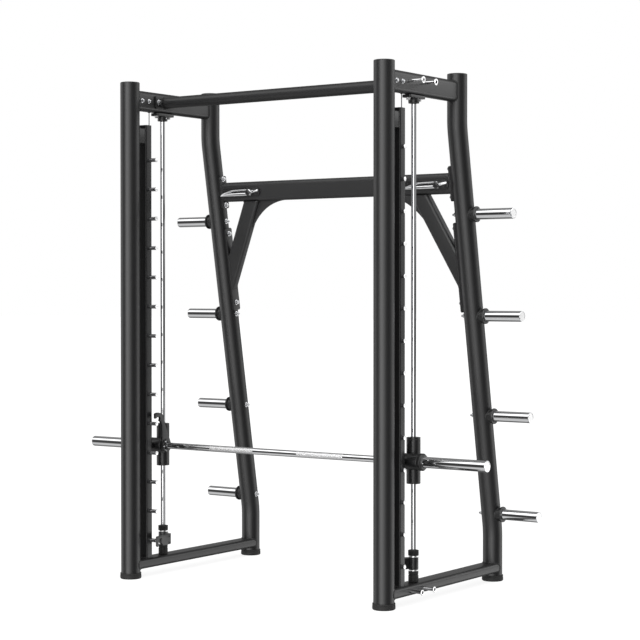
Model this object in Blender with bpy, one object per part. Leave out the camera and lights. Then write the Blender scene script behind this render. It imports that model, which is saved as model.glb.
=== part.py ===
"""Smith machine: a bar on two vertical guide rods, counterbalanced through cables
that run over pulleys in the top beams to weights inside the front uprights.

Metres, +Z up, +X to the user's right hand when facing the machine from the front,
-Y towards the front.  The origin is on the floor, midway between all four feet.
"""
import math

import bmesh
import bpy
from mathutils import Matrix, Vector

# ---------------------------------------------------------------- dimensions
HALF_W = 0.706            # centre of the machine to each upright axis
Y_FRONT = -0.461          # front upright axis
Y_REAR_FOOT = 0.461       # rear upright axis at the floor
Y_REAR_TOP = 0.136        # rear upright axis above its upper bend
TOP_Z = 2.314             # top of the upright caps
TUBE_R = 0.045            # round frame tube, outside
TUBE_WALL = 0.003
GAP = 0.0003              # clearance left between neighbouring pieces

FOOT_R = 0.0495
FOOT_H = 0.027
FOOT_FLOOR = 0.010        # rubber under the tube end

BEND_HI_Z = 2.079         # where the two axes of the rear upright meet, upper bend
BEND_LO_Z = 0.236
BEND_R = 0.40

FLAT_W = 0.095            # flat oval tube, long side
LOW_BEAM_W = 0.089
FLAT_T = 0.046            # flat oval tube, short side
FLAT_CORNER = 0.020
LOW_CORNER = 0.015
TOP_BEAM_Z = 2.232
LOW_BEAM_Z = 0.0625
LOW_BEAM_T = 0.045
LOW_BEAM_TOP = LOW_BEAM_Z + LOW_BEAM_T / 2

COLUMN_Y = Y_FRONT + 0.098
COLUMN_W = 0.060
COLUMN_D = 0.038
COLUMN_TOP = 2.120
PEG_COUNT = 14
PEG_PITCH = 0.1373
PEG_TOP_Z = 1.955
PEG_R = 0.009
PEG_IN = 0.075            # inner end of a peg, from the column's centre
PEG_OUT = 0.0426          # outer end
STANDOFF_Z = (2.033, 2.104)

ROD_Y = Y_FRONT + 0.2333
ROD_R = 0.011
ROD_TOP = 2.1835
BEARING_CLEAR = 0.0005

BAR_Y = Y_FRONT + 0.1868
BAR_Z = 0.6107
BAR_R = 0.015
BAR_HALF = 1.100
SLEEVE_R = 0.0245
SLEEVE_START = 0.7705
COLLAR_R = 0.0375

CARRIAGE_Z = (0.5109, 0.7113)
CARRIAGE_R = 0.0305
HOUSING_R = 0.0345
HOUSING_X = (0.660, 0.7695)
LUG_TOP = 0.625           # the cable is held just above it

HOOK_X = (0.646, 0.658)
HOOK_ENGAGED_DEG = 17.0   # how far the bar turns from rest to seat the hooks on pegs

STOP_SWING_DEG = 12.0     # how far a stop swings from rest to hook its peg
STOP_TUBE_R = 0.022

PULLEY_FRONT_Y = Y_FRONT + 0.058
PULLEY_BACK_Y = Y_FRONT + 0.112
PULLEY_R = 0.0235         # to the cable's centre line
PULLEY_RIM = 0.0262
PULLEY_W = 0.014
CABLE_R = 0.0022
CABLE_INBOARD = 0.0

WEIGHT_R = 0.036
WEIGHT_Z = (1.540, 1.840)

TRUSS_Y = Y_FRONT + 0.6417
TRUSS_Z = 1.828
TILT = math.atan2(Y_REAR_FOOT - Y_REAR_TOP, BEND_HI_Z - BEND_LO_Z)  # rear upright's lean
PLATE_X = HALF_W - TUBE_R - GAP        # outer face of the plates on the uprights
PLATE_T = 0.008

HORN_Z = [0.3115 + 0.4585 * n for n in range(4)]
HORN_END = 0.957
HORN_R = 0.0245
HORN_COLLAR_R = 0.036
HORN_COLLAR_END = 0.771

PULLUP_Y = Y_FRONT + 0.215
PULLUP_Z = 2.2325
PULLUP_R = 0.0273

# ---------------------------------------------------------------- set-up
for old in list(bpy.data.objects):
    bpy.data.objects.remove(old, do_unlink=True)

parts = bpy.data.collections.new("smith_machine")
cutters = bpy.data.collections.new("cutters")
bpy.context.scene.collection.children.link(parts)
bpy.context.scene.collection.children.link(cutters)


def material(name, colour, roughness, metallic):
    m = bpy.data.materials.new(name)
    m.use_nodes = True
    b = m.node_tree.nodes["Principled BSDF"]
    b.inputs["Base Color"].default_value = (*colour, 1)
    b.inputs["Roughness"].default_value = roughness
    b.inputs["Metallic"].default_value = metallic
    return m


FINISH = {
    "frame": ((0.055, 0.055, 0.058), 0.42, 0.1),
    "black": ((0.02, 0.02, 0.021), 0.5, 0.0),
    "rubber": ((0.018, 0.018, 0.018), 0.75, 0.0),
    "chrome": ((0.85, 0.86, 0.88), 0.08, 1.0),
    "steel": ((0.42, 0.42, 0.43), 0.4, 1.0),
}


def place(name, mesh, finish=None, at=(0, 0, 0), rot=(0, 0, 0), cutter=False):
    """A new object in the parts or the cutters collection."""
    o = bpy.data.objects.new(name, mesh)
    o.location = at
    o.rotation_euler = rot
    (cutters if cutter else parts).objects.link(o)
    if cutter:
        o.hide_render = True
        o.display_type = "WIRE"
    else:
        o.data.materials.clear()
        o.data.materials.append(material(name + "_mat", *FINISH[finish]))
        o.data.shade_smooth()
        o.data.set_sharp_from_angle(angle=math.radians(35))
    return o


def mesh_from(bm, name="shape"):
    bmesh.ops.recalc_face_normals(bm, faces=bm.faces)
    me = bpy.data.meshes.new(name)
    bm.to_mesh(me)
    bm.free()
    return me


def boolean(o, cutter, operation="DIFFERENCE"):
    m = o.modifiers.new("boolean", "BOOLEAN")
    m.operation = operation
    m.solver = "EXACT"
    m.object = cutter
    return m


def box(sx, sy, sz, centre=(0, 0, 0)):
    bm = bmesh.new()
    bmesh.ops.create_cube(bm, size=1, matrix=Matrix.Translation(centre) @ Matrix.Diagonal((sx, sy, sz, 1)))
    return mesh_from(bm)


def cylinder(radius, length, centre=(0, 0, 0), axis="Z", seg=24, radius2=None):
    turn = {"Z": Matrix(), "X": Matrix.Rotation(math.pi / 2, 4, "Y"), "Y": Matrix.Rotation(-math.pi / 2, 4, "X")}[axis]
    bm = bmesh.new()
    bmesh.ops.create_cone(bm, cap_ends=True, segments=seg, radius1=radius, radius2=radius if radius2 is None else radius2,
                          depth=length, matrix=Matrix.Translation(centre) @ turn)
    return mesh_from(bm)


def clear(radius, seg=24, gap=GAP):
    """Corner radius of a faceted hole whose flats clear a given radius."""
    return (radius + gap) / math.cos(math.pi / seg)


def merged(*meshes):
    """Several shapes in one mesh, for one Boolean."""
    bm = bmesh.new()
    for me in meshes:
        bm.from_mesh(me)
    me = bpy.data.meshes.new("shapes")
    bm.to_mesh(me)
    bm.free()
    return me


def turned(profile, seg=24):
    """A closed solid turned about Z from (radius, z) points, top to bottom on the outside.
    The first and last points of a solid piece lie on the axis."""
    bm = bmesh.new()
    rings = [bm.verts.new((r, 0, z)) for r, z in profile]
    closed = profile[0][0] > 1e-6
    edges = [bm.edges.new((a, b)) for a, b in zip(rings, rings[1:])]
    if closed:
        edges.append(bm.edges.new((rings[-1], rings[0])))
    bmesh.ops.spin(bm, geom=rings + edges, cent=(0, 0, 0), axis=(0, 0, 1), dvec=(0, 0, 0),
                   angle=2 * math.pi, steps=seg, use_merge=True)
    bmesh.ops.remove_doubles(bm, verts=bm.verts, dist=1e-6)
    return mesh_from(bm)


def to_mesh(curve_object):
    """The evaluated curve as a mesh with welded caps; the curve is removed."""
    deps = bpy.context.evaluated_depsgraph_get()
    me = bpy.data.meshes.new_from_object(curve_object.evaluated_get(deps))
    me.transform(curve_object.matrix_world)
    bpy.data.objects.remove(curve_object, do_unlink=True)
    bm = bmesh.new()
    bm.from_mesh(me)
    bmesh.ops.remove_doubles(bm, verts=bm.verts, dist=1e-5)
    return mesh_from(bm)


def flat(outlines, thickness):
    """A flat shape in XY, with thickness along Z, from closed outlines (the first is the edge, others are holes)."""
    cu = bpy.data.curves.new("outline", "CURVE")
    cu.dimensions = "2D"
    cu.fill_mode = "BOTH"
    cu.extrude = thickness / 2
    for pts in outlines:
        s = cu.splines.new("POLY")
        s.points.add(len(pts) - 1)
        for p, (x, y) in zip(s.points, pts):
            p.co = (x, y, 0, 1)
        s.use_cyclic_u = True
    o = bpy.data.objects.new("outline", cu)
    bpy.context.scene.collection.objects.link(o)
    bpy.context.view_layer.update()
    return to_mesh(o)


def pipe(points, radius, resolution=10):
    """A round bar along a polyline, with filled ends."""
    cu = bpy.data.curves.new("path", "CURVE")
    cu.dimensions = "3D"
    cu.bevel_depth = radius
    cu.bevel_resolution = resolution
    cu.use_fill_caps = True
    s = cu.splines.new("POLY")
    s.points.add(len(points) - 1)
    for p, co in zip(s.points, points):
        p.co = (*co, 1)
    o = bpy.data.objects.new("path", cu)
    bpy.context.scene.collection.objects.link(o)
    bpy.context.view_layer.update()
    return to_mesh(o)


def rounded(w, h, r, steps=3):
    """Outline of a w by h rectangle with round corners."""
    pts = []
    for cx, cy, a0 in ((w / 2 - r, h / 2 - r, 0), (-w / 2 + r, h / 2 - r, 90), (-w / 2 + r, -h / 2 + r, 180), (w / 2 - r, -h / 2 + r, 270)):
        for n in range(steps + 1):
            a = math.radians(a0 + 90 * n / steps)
            pts.append((cx + r * math.cos(a), cy + r * math.sin(a)))
    return pts


def filleted(points, radius, steps=3):
    """A polyline with arcs of a given radius at its inner corners."""
    out = [Vector(points[0])]
    for a, b, c in zip(points, points[1:], points[2:]):
        a, b, c = Vector(a), Vector(b), Vector(c)
        u, v = (a - b).normalized(), (c - b).normalized()
        angle = u.angle(v)
        t = radius / math.tan(angle / 2)
        centre = b + (u + v).normalized() * (radius / math.sin(angle / 2))
        start, end = b + u * t - centre, b + v * t - centre
        total = start.angle(end)
        axis = start.cross(end).normalized()
        for n in range(steps + 1):
            out.append(centre + Matrix.Rotation(total * n / steps, 3, axis) @ start)
    out.append(Vector(points[-1]))
    return out


def rect_tube(w, h, r, wall, length, steps=3):
    """A hollow tube along Z: w along X, h along Y."""
    return flat([rounded(w, h, r, steps), rounded(w - 2 * wall, h - 2 * wall, r - wall, steps)], length)


SIDES = (("left", -1), ("right", 1))


def at_x(side, x):
    return side * x


# ---------------------------------------------------------------- uprights, caps and feet
foot_profile = [(0, FOOT_FLOOR), (clear(TUBE_R), FOOT_FLOOR), (clear(TUBE_R), FOOT_H), (FOOT_R - 0.0015, FOOT_H), (FOOT_R, FOOT_H - 0.002),
                (FOOT_R, 0.004), (FOOT_R - 0.004, 0), (0, 0)]
STEM_R = (TUBE_R - TUBE_WALL) * math.cos(math.pi / 24) - GAP
cap_profile = [(0, TOP_Z), (TUBE_R - 0.004, TOP_Z), (TUBE_R - 0.0012, TOP_Z - 0.0016), (TUBE_R, TOP_Z - 0.005),
               (STEM_R, TOP_Z - 0.005), (STEM_R, TOP_Z - 0.022), (0, TOP_Z - 0.022)]
tube_low, tube_high = FOOT_FLOOR + GAP, TOP_Z - 0.005 - GAP


def ring(r_out, r_in, z0, z1, seg=24):
    return turned([(r_out, z1), (r_out, z0), (r_in, z0), (r_in, z1)], seg)


for name, s in SIDES:
    x = s * HALF_W
    front = place("front_upright_" + name, ring(TUBE_R, TUBE_R - TUBE_WALL, tube_low, tube_high), "frame", (x, Y_FRONT, 0))
    slot = place("cut_pulley_slot_" + name, box(0.018, 0.020, 0.070), at=(x, Y_FRONT + 0.043, TOP_BEAM_Z), cutter=True)
    boolean(front, slot)

    path = filleted([(0, Y_REAR_TOP, tube_high), (0, Y_REAR_TOP, BEND_HI_Z), (0, Y_REAR_FOOT, BEND_LO_Z), (0, Y_REAR_FOOT, tube_low)], BEND_R, 3)
    bore_path = [path[0] + Vector((0, 0, 0.01))] + path[1:-1] + [path[-1] - Vector((0, 0, 0.01))]
    rear = place("rear_upright_" + name, pipe(path, TUBE_R), "frame", (x, 0, 0))
    bore = place("cut_rear_bore_" + name, pipe(bore_path, TUBE_R - TUBE_WALL), at=(x, 0, 0), cutter=True)
    boolean(rear, bore)

    for end, y in (("front", Y_FRONT), ("rear", Y_REAR_FOOT)):
        place(f"foot_cap_{end}_{name}", turned(foot_profile, 24), "rubber", (x, y, 0))
    for end, y in (("front", Y_FRONT), ("rear", Y_REAR_TOP)):
        place(f"top_cap_{end}_{name}", turned(cap_profile, 24), "black", (x, y, 0))

# ---------------------------------------------------------------- side beams
for name, s in SIDES:
    x = s * HALF_W
    # top beam: long side upright, its ends saddled to both uprights
    y0, y1 = Y_FRONT + 0.030, Y_REAR_TOP - 0.030
    beam = place("top_beam_" + name, rect_tube(FLAT_T, FLAT_W, FLAT_CORNER, 0.003, y1 - y0), "frame",
                 (x, (y0 + y1) / 2, TOP_BEAM_Z), (math.pi / 2, 0, 0))
    for end, y in (("front", Y_FRONT), ("rear", Y_REAR_TOP)):
        boolean(beam, place(f"cut_top_{end}_{name}", cylinder(clear(TUBE_R), 0.2), at=(x, y, TOP_BEAM_Z), cutter=True))
    # the cable drops through the beam's underside behind the peg column
    exit_hole = place("cut_cable_exit_" + name, box(0.014, 0.016, 0.020), at=(x, PULLEY_BACK_Y + PULLEY_R, TOP_BEAM_Z - FLAT_W / 2), cutter=True)
    boolean(beam, exit_hole)

    # bottom beam: long side flat
    y0, y1 = Y_FRONT + 0.012, Y_REAR_FOOT - 0.012
    beam = place("bottom_beam_" + name, rect_tube(LOW_BEAM_W, LOW_BEAM_T, LOW_CORNER, 0.003, y1 - y0), "frame",
                 (x, (y0 + y1) / 2, LOW_BEAM_Z), (math.pi / 2, 0, 0))
    for end, y in (("front", Y_FRONT), ("rear", Y_REAR_FOOT)):
        boolean(beam, place(f"cut_low_{end}_{name}", cylinder(clear(TUBE_R), 0.2), at=(x, y, LOW_BEAM_Z), cutter=True))

# ---------------------------------------------------------------- peg columns
peg_z = [PEG_TOP_Z - PEG_PITCH * n for n in range(PEG_COUNT)]
for name, s in SIDES:
    x = s * HALF_W
    z0 = LOW_BEAM_TOP + GAP
    column = place("peg_column_" + name, rect_tube(COLUMN_W, COLUMN_D, 0.006, 0.0025, COLUMN_TOP - z0, 2), "frame",
                   (x, COLUMN_Y, (COLUMN_TOP + z0) / 2))
    # pegs pass through both walls; the bracket at the top reaches back to the upright
    length = PEG_IN + PEG_OUT
    centre = s * (PEG_OUT - PEG_IN) / 2
    pegs = merged(*[cylinder(PEG_R, length, (centre, 0, z), "X", 12) for z in peg_z])
    boolean(column, place("add_pegs_" + name, pegs, at=(x, COLUMN_Y, 0), cutter=True), "UNION")
    zc, zh = sum(STANDOFF_Z) / 2, STANDOFF_Z[1] - STANDOFF_Z[0]
    y_a, y_b = Y_FRONT + 0.030, COLUMN_Y - COLUMN_D / 2 + 0.0015
    boolean(column, place("add_bracket_" + name, box(0.050, y_b - y_a, zh), at=(x, (y_a + y_b) / 2, zc), cutter=True), "UNION")
    boolean(column, place("cut_bracket_" + name, cylinder(clear(TUBE_R), 0.2), at=(x, Y_FRONT, zc), cutter=True))

# ---------------------------------------------------------------- guide rods and their ends
for name, s in SIDES:
    x = s * HALF_W
    z0 = LOW_BEAM_TOP + GAP
    place("guide_rod_" + name, turned([(0, ROD_TOP), (ROD_R - 0.001, ROD_TOP), (ROD_R, ROD_TOP - 0.001), (ROD_R, z0), (0, z0)], 20), "chrome", (x, ROD_Y, 0))
    # base collar with a narrow neck the stop rests on
    place("rod_base_" + name, turned([(0.018, 0.1390), (0.018, 0.132), (0.0222, 0.1315), (0.0222, z0), (clear(ROD_R, 20), z0), (clear(ROD_R, 20), 0.1390)], 20),
          "rubber", (x, ROD_Y, 0))
    # clamp under the top beam: flange and split socket
    top = TOP_BEAM_Z - FLAT_W / 2 - GAP
    clamp = place("rod_clamp_" + name, flat([rounded(0.044, 0.124, 0.006, 2)], 0.0125), "black", (x, ROD_Y, top - 0.00625))
    boolean(clamp, place("add_socket_" + name, cylinder(0.0235, 0.0220, seg=20), at=(x, ROD_Y, top - 0.012 - 0.011), cutter=True), "UNION")
    boolean(clamp, place("cut_socket_" + name, cylinder(clear(ROD_R, 20), 0.08, seg=20), at=(x, ROD_Y, top - 0.02), cutter=True))

# ---------------------------------------------------------------- pull-up bar
flange_x = HALF_W - FLAT_T / 2 - GAP
bar = place("pull_up_bar", cylinder(PULLUP_R, 2 * flange_x - 0.006, axis="X", seg=24), "frame", (0, PULLUP_Y, PULLUP_Z))
for name, s in SIDES:
    flange = place("add_flange_" + name, flat([rounded(0.130, 0.060, 0.008, 2)], PLATE_T), at=(s * (flange_x - PLATE_T / 2), PULLUP_Y, PULLUP_Z),
                   rot=(math.pi / 2, 0, math.pi / 2), cutter=True)
    boolean(bar, flange, "UNION")
boolean(bar, place("cut_pullup_bore", cylinder(PULLUP_R - 0.003, 2 * HALF_W, axis="X", seg=20), at=(0, PULLUP_Y, PULLUP_Z), cutter=True))

# ---------------------------------------------------------------- rear truss, in the plane of the leaning uprights
truss = bpy.data.objects.new("truss_frame", None)
truss.location = (0, TRUSS_Y, TRUSS_Z)
truss.rotation_euler = (TILT, 0, 0)
parts.objects.link(truss)


def on_truss(name, mesh, finish=None, at=(0, 0, 0), rot=(0, 0, 0), cutter=False):
    o = place(name, mesh, finish, at, rot, cutter)
    o.parent = truss
    return o


tube_end = PLATE_X - PLATE_T + 0.001
cross = on_truss("rear_crossbar", flat([rounded(FLAT_T, FLAT_W, FLAT_CORNER)], 2 * tube_end), "frame", rot=(math.pi / 2, 0, math.pi / 2))
for name, s in SIDES:
    plate = on_truss("add_end_plate_" + name, flat([rounded(0.050, 0.160, 0.008, 2)], PLATE_T), at=(s * (PLATE_X - PLATE_T / 2), 0, 0),
                     rot=(math.pi / 2, 0, math.pi / 2), cutter=True)
    boolean(cross, plate, "UNION")
core = on_truss("cut_crossbar_bore", flat([rounded(FLAT_T - 0.006, FLAT_W - 0.006, FLAT_CORNER - 0.003)], 2 * HALF_W), rot=(math.pi / 2, 0, math.pi / 2), cutter=True)
boolean(cross, core)

BRACE_W, BRACE_D = 0.080, 0.044
BRACE_TOP = (0.4860, -0.052 / math.cos(TILT))      # a point on its centre line, in the truss plane
BRACE_ANGLE = math.radians(26)
FOOT_PLATE_LOW, FOOT_PLATE_HIGH = -0.590, -0.178    # along the upright, from the crossbar's centre
for name, s in SIDES:
    length = 0.56
    direction = Vector((s * math.sin(BRACE_ANGLE), 0, -math.cos(BRACE_ANGLE)))
    middle = Vector((s * BRACE_TOP[0], 0, BRACE_TOP[1])) + direction * 0.17
    lean = (0, -s * BRACE_ANGLE, 0)
    brace = on_truss("brace_" + name, flat([rounded(BRACE_W, BRACE_D, 0.012)], length), "frame", middle, lean)
    trims = merged(box(1.2, 0.2, 0.3, (s * 0.4, 0, -FLAT_W / 2 - GAP + 0.15)), box(0.3, 0.2, 1.4, (s * (tube_end + 0.15), 0, -0.5)))
    trim_top = on_truss("cut_brace_top_" + name, box(1.2, 0.2, 0.3, (s * 0.4, 0, -FLAT_W / 2 - GAP + 0.15)), cutter=True)
    trim_side = on_truss("cut_brace_side_" + name, box(0.3, 0.2, 1.4, (s * (tube_end + 0.15), 0, -0.5)), cutter=True)
    boolean(brace, trim_top)
    boolean(brace, trim_side)
    # foot plate bolted to the upright
    mid_z = (FOOT_PLATE_LOW + FOOT_PLATE_HIGH) / 2
    plate = on_truss("add_foot_plate_" + name, flat([rounded(0.050, FOOT_PLATE_HIGH - FOOT_PLATE_LOW, 0.008, 2)], PLATE_T),
                     at=(s * (PLATE_X - PLATE_T / 2), 0, mid_z), rot=(math.pi / 2, 0, math.pi / 2), cutter=True)
    boolean(brace, plate, "UNION")
    # curved gusset in the corner between brace and crossbar
    zt = -FLAT_W / 2 - GAP
    inner = lambda z: BRACE_TOP[0] + (BRACE_TOP[1] - z) * math.tan(BRACE_ANGLE) - BRACE_W / 2 / math.cos(BRACE_ANGLE)
    x_a, z_b = 0.290, -0.190
    p0, p1, p2 = Vector((x_a, zt)), Vector((inner(zt) - 0.012, zt - 0.012)), Vector((inner(z_b), z_b))
    arc = [p0 * (1 - t) ** 2 + p1 * 2 * t * (1 - t) + p2 * t * t for t in [n / 6 for n in range(7)]]
    outline = [(s * p.x, p.y) for p in arc] + [(s * (inner(z_b) + 0.02), z_b), (s * (inner(zt) + 0.02), zt)]
    gusset = on_truss("add_gusset_" + name, flat([outline if s > 0 else outline[::-1]], 0.008), at=(0, -0.004, 0), rot=(math.pi / 2, 0, 0), cutter=True)
    boolean(brace, gusset, "UNION")
    hollow = on_truss("cut_brace_hollow_" + name, flat([rounded(BRACE_W - 0.006, BRACE_D - 0.006, 0.009)], 0.34), middle - direction * 0.11, lean, cutter=True)
    boolean(brace, hollow)

# ---------------------------------------------------------------- cleats on the crossbar's front
CLEAT_X = 0.534
for name, s in SIDES:
    front = -FLAT_T / 2 - GAP
    cleat = on_truss("cleat_" + name, flat([rounded(0.230, 0.046, 0.022, 4)], 0.006), "chrome", (s * CLEAT_X, front - 0.003, 0), (math.pi / 2, 0, 0))
    posts = merged(*[cylinder(0.007, 0.040, (d, front - 0.005 - 0.020, 0), "Y", 12) for d in (-0.0575, 0.0575)])
    boolean(cleat, on_truss("add_posts_" + name, posts, at=(s * CLEAT_X, 0, 0), cutter=True), "UNION")
    horn = turned([(0, 0.108), (0.006, 0.104), (0.009, 0.085), (0.010, 0), (0.009, -0.085), (0.006, -0.104), (0, -0.108)], 12)
    boolean(cleat, on_truss("add_cleat_bar_" + name, horn, at=(s * CLEAT_X, front - 0.046, 0), rot=(0, math.pi / 2, 0), cutter=True), "UNION")

# ---------------------------------------------------------------- plate storage horns
def upright_y(z):
    return Y_REAR_TOP + (BEND_HI_Z - z) * math.tan(TILT)


horn_profile = [(0, HORN_END), (HORN_R - 0.002, HORN_END), (HORN_R, HORN_END - 0.002), (HORN_R, HORN_COLLAR_END),
                (HORN_COLLAR_R - 0.003, HORN_COLLAR_END), (HORN_COLLAR_R, HORN_COLLAR_END - 0.003), (HORN_COLLAR_R, 0.715), (0, 0.715)]
for name, s in SIDES:
    for n, z in enumerate(HORN_Z, 1):
        y = upright_y(z)
        horn = place(f"plate_horn_{name}_{n}", turned(horn_profile, 16), "chrome", (0, y, z), (0, s * math.pi / 2, 0))
        saddle = cylinder(clear(TUBE_R), 0.3)
        boolean(horn, place(f"cut_saddle_{name}_{n}", saddle, at=(s * HALF_W, y, z), rot=(TILT, 0, 0), cutter=True))

# ---------------------------------------------------------------- band pegs, a pair on a strip inside each beam
def band_pegs(name, s, face_x, wall, ys, z, strip_h, head_r, tip):
    strip = place(name, box(0.004, ys[1] - ys[0] + 0.030, strip_h), "chrome", (s * (face_x - wall - GAP - 0.002), sum(ys) / 2, z))
    pin = turned([(0, tip - 0.0025), (0.0065, tip - 0.0025), (0.0080, tip), (head_r - 0.0010, tip), (head_r, tip - 0.0025), (head_r, tip - 0.0055), (0.0074, tip - 0.010),
                  (0.0074, 0), (0, 0)], 12)
    pins = []
    for y in ys:
        me = pin.copy()
        me.transform(Matrix.Translation((0, y - sum(ys) / 2, 0)) @ Matrix.Rotation(s * math.pi / 2, 4, "Y"))
        pins.append(me)
    boolean(strip, place("add_" + name, merged(*pins), at=(s * (face_x - wall - GAP - 0.003), sum(ys) / 2, z), cutter=True), "UNION")


for name, s in SIDES:
    for level, face, ys, z, h, head_r, tip in (("top", HALF_W + FLAT_T / 2, (Y_FRONT + 0.161, Y_FRONT + 0.263), 2.239, 0.030, 0.0145, 0.080),
                                  ("bottom", HALF_W + LOW_BEAM_W / 2, (Y_FRONT + 0.141, Y_FRONT + 0.239), 0.061, 0.013, 0.0125, 0.068)):
        band_pegs(f"band_pegs_{level}_{name}", s, face, 0.003, ys, z, h, head_r, tip)
        beam = bpy.data.objects[f"{level}_beam_{name}"]
        holes = merged(*[cylinder(clear(0.0074, 12), 0.05, (0, y, 0), "X", 12) for y in ys])
        boolean(beam, place(f"cut_band_{level}_{name}", holes, at=(s * face, 0, z), cutter=True))

# ---------------------------------------------------------------- carriages
for name, s in SIDES:
    x = s * HALF_W
    za, zb = CARRIAGE_Z
    sleeve = place("carriage_" + name, cylinder(CARRIAGE_R, zb - za, (0, 0, (za + zb) / 2), seg=24), "black", (x, ROD_Y, 0))
    xa, xb = HOUSING_X
    boolean(sleeve, place("add_housing_" + name, cylinder(HOUSING_R, xb - xa, axis="X", seg=24), at=(s * (xa + xb) / 2, BAR_Y, BAR_Z), cutter=True), "UNION")
    # lug on the housing's front that takes the cable
    boolean(sleeve, place("add_lug_" + name, box(0.012, 0.032, 0.029), at=(x, Y_FRONT + 0.142, LUG_TOP - 0.0145), cutter=True), "UNION")
    boolean(sleeve, place("cut_rod_bore_" + name, cylinder(ROD_R + BEARING_CLEAR, 0.5, seg=24), at=(x, ROD_Y, BAR_Z), cutter=True))
    boolean(sleeve, place("cut_bar_bore_" + name, cylinder(BAR_R + BEARING_CLEAR, 0.3, axis="X", seg=24), at=(x, BAR_Y, BAR_Z), cutter=True))

# ---------------------------------------------------------------- bar with its loading sleeves and collars
profile = []
half = [(0, BAR_HALF), (SLEEVE_R - 0.003, BAR_HALF), (SLEEVE_R, BAR_HALF - 0.003), (SLEEVE_R, 0.790), (COLLAR_R - 0.005, 0.790),
        (COLLAR_R, 0.785), (COLLAR_R, SLEEVE_START + 0.0002), (BAR_R, SLEEVE_START + 0.0002)]
bar_profile = half + [(r, -z) for r, z in reversed(half)]
place("barbell", turned(bar_profile, 24), "chrome", (0, BAR_Y, BAR_Z), (0, math.pi / 2, 0))

# ---------------------------------------------------------------- hooks on the bar, swung back clear of the pegs
peg_dy, peg_dz = COLUMN_Y - BAR_Y, peg_z[9] - BAR_Z
peg_reach = math.hypot(peg_dy, peg_dz)
peg_angle = math.atan2(-peg_dy, peg_dz)               # from straight up, towards the front


def polar(r, a):
    """A point in the hook's plane: (forward, up) at radius r and angle a from straight up, hooks seated."""
    return (r * math.sin(a), r * math.cos(a))


m_in, m_out = peg_reach - PEG_R - 0.0012, peg_reach + PEG_R + 0.0012
d = math.radians
hub_r = 0.030
# round the hub, up the arm's back edge, over the head, down the nose, into the mouth and down the arm's front edge
outline = [polar(hub_r, d(a)) for a in (80, 100, 125, 150, 180, 210, 240, 265, 290)]
outline += [(-0.0270, 0.0225), (-0.0215, 0.0305), (-0.0132, 0.0393), (0.0198, 0.0743), (0.0488, 0.1093), (0.0560, 0.1215), (0.0630, 0.1310),
            (0.0703, 0.1360), (0.0850, 0.1372), (0.0988, 0.1360), (0.1100, 0.1320), (0.1175, 0.1270)]
outline += [polar(0.1720, d(44.0)), polar(0.1650, d(45.1)), polar(0.1580, d(46.5)), polar(0.1530, d(47.3)), polar(m_out + 0.0006, d(46.8))]
outline += [polar(m_out, d(43.5)), polar(m_out, peg_angle)]
for n in range(1, 6):
    a = math.pi * n / 6
    outline.append(polar(peg_reach + (PEG_R + 0.0012) * math.cos(a), peg_angle - (PEG_R + 0.0012) / peg_reach * math.sin(a)))
outline += [polar(m_in, peg_angle - 0.01), (0.0705, 0.0992), (0.0640, 0.0930), (0.0538, 0.0763), (0.0465, 0.0560), (0.0418, 0.0423), (0.0370, 0.0250), (0.0338, 0.0120)]
for name, s in SIDES:
    xa, xb = HOOK_X
    flat_hook = flat([[(-f, u) for f, u in outline]], xb - xa)      # local x = back, local y = up
    turn = Matrix.Rotation(math.pi / 2, 4, "Z") @ Matrix.Rotation(math.pi / 2, 4, "X")
    flat_hook.transform(Matrix.Rotation(-math.radians(HOOK_ENGAGED_DEG), 4, "X") @ turn)
    hook = place("bar_hook_" + name, flat_hook, "black", (s * (xa + xb) / 2, BAR_Y, BAR_Z))
    boolean(hook, place("add_hub_" + name, cylinder(hub_r, 0.013, axis="X", seg=24), at=(s * (xa + 0.0005), BAR_Y, BAR_Z), cutter=True), "UNION")
    boolean(hook, place("cut_hub_" + name, cylinder(clear(BAR_R), 0.2, axis="X", seg=24), at=(s * xa, BAR_Y, BAR_Z), cutter=True))

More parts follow.
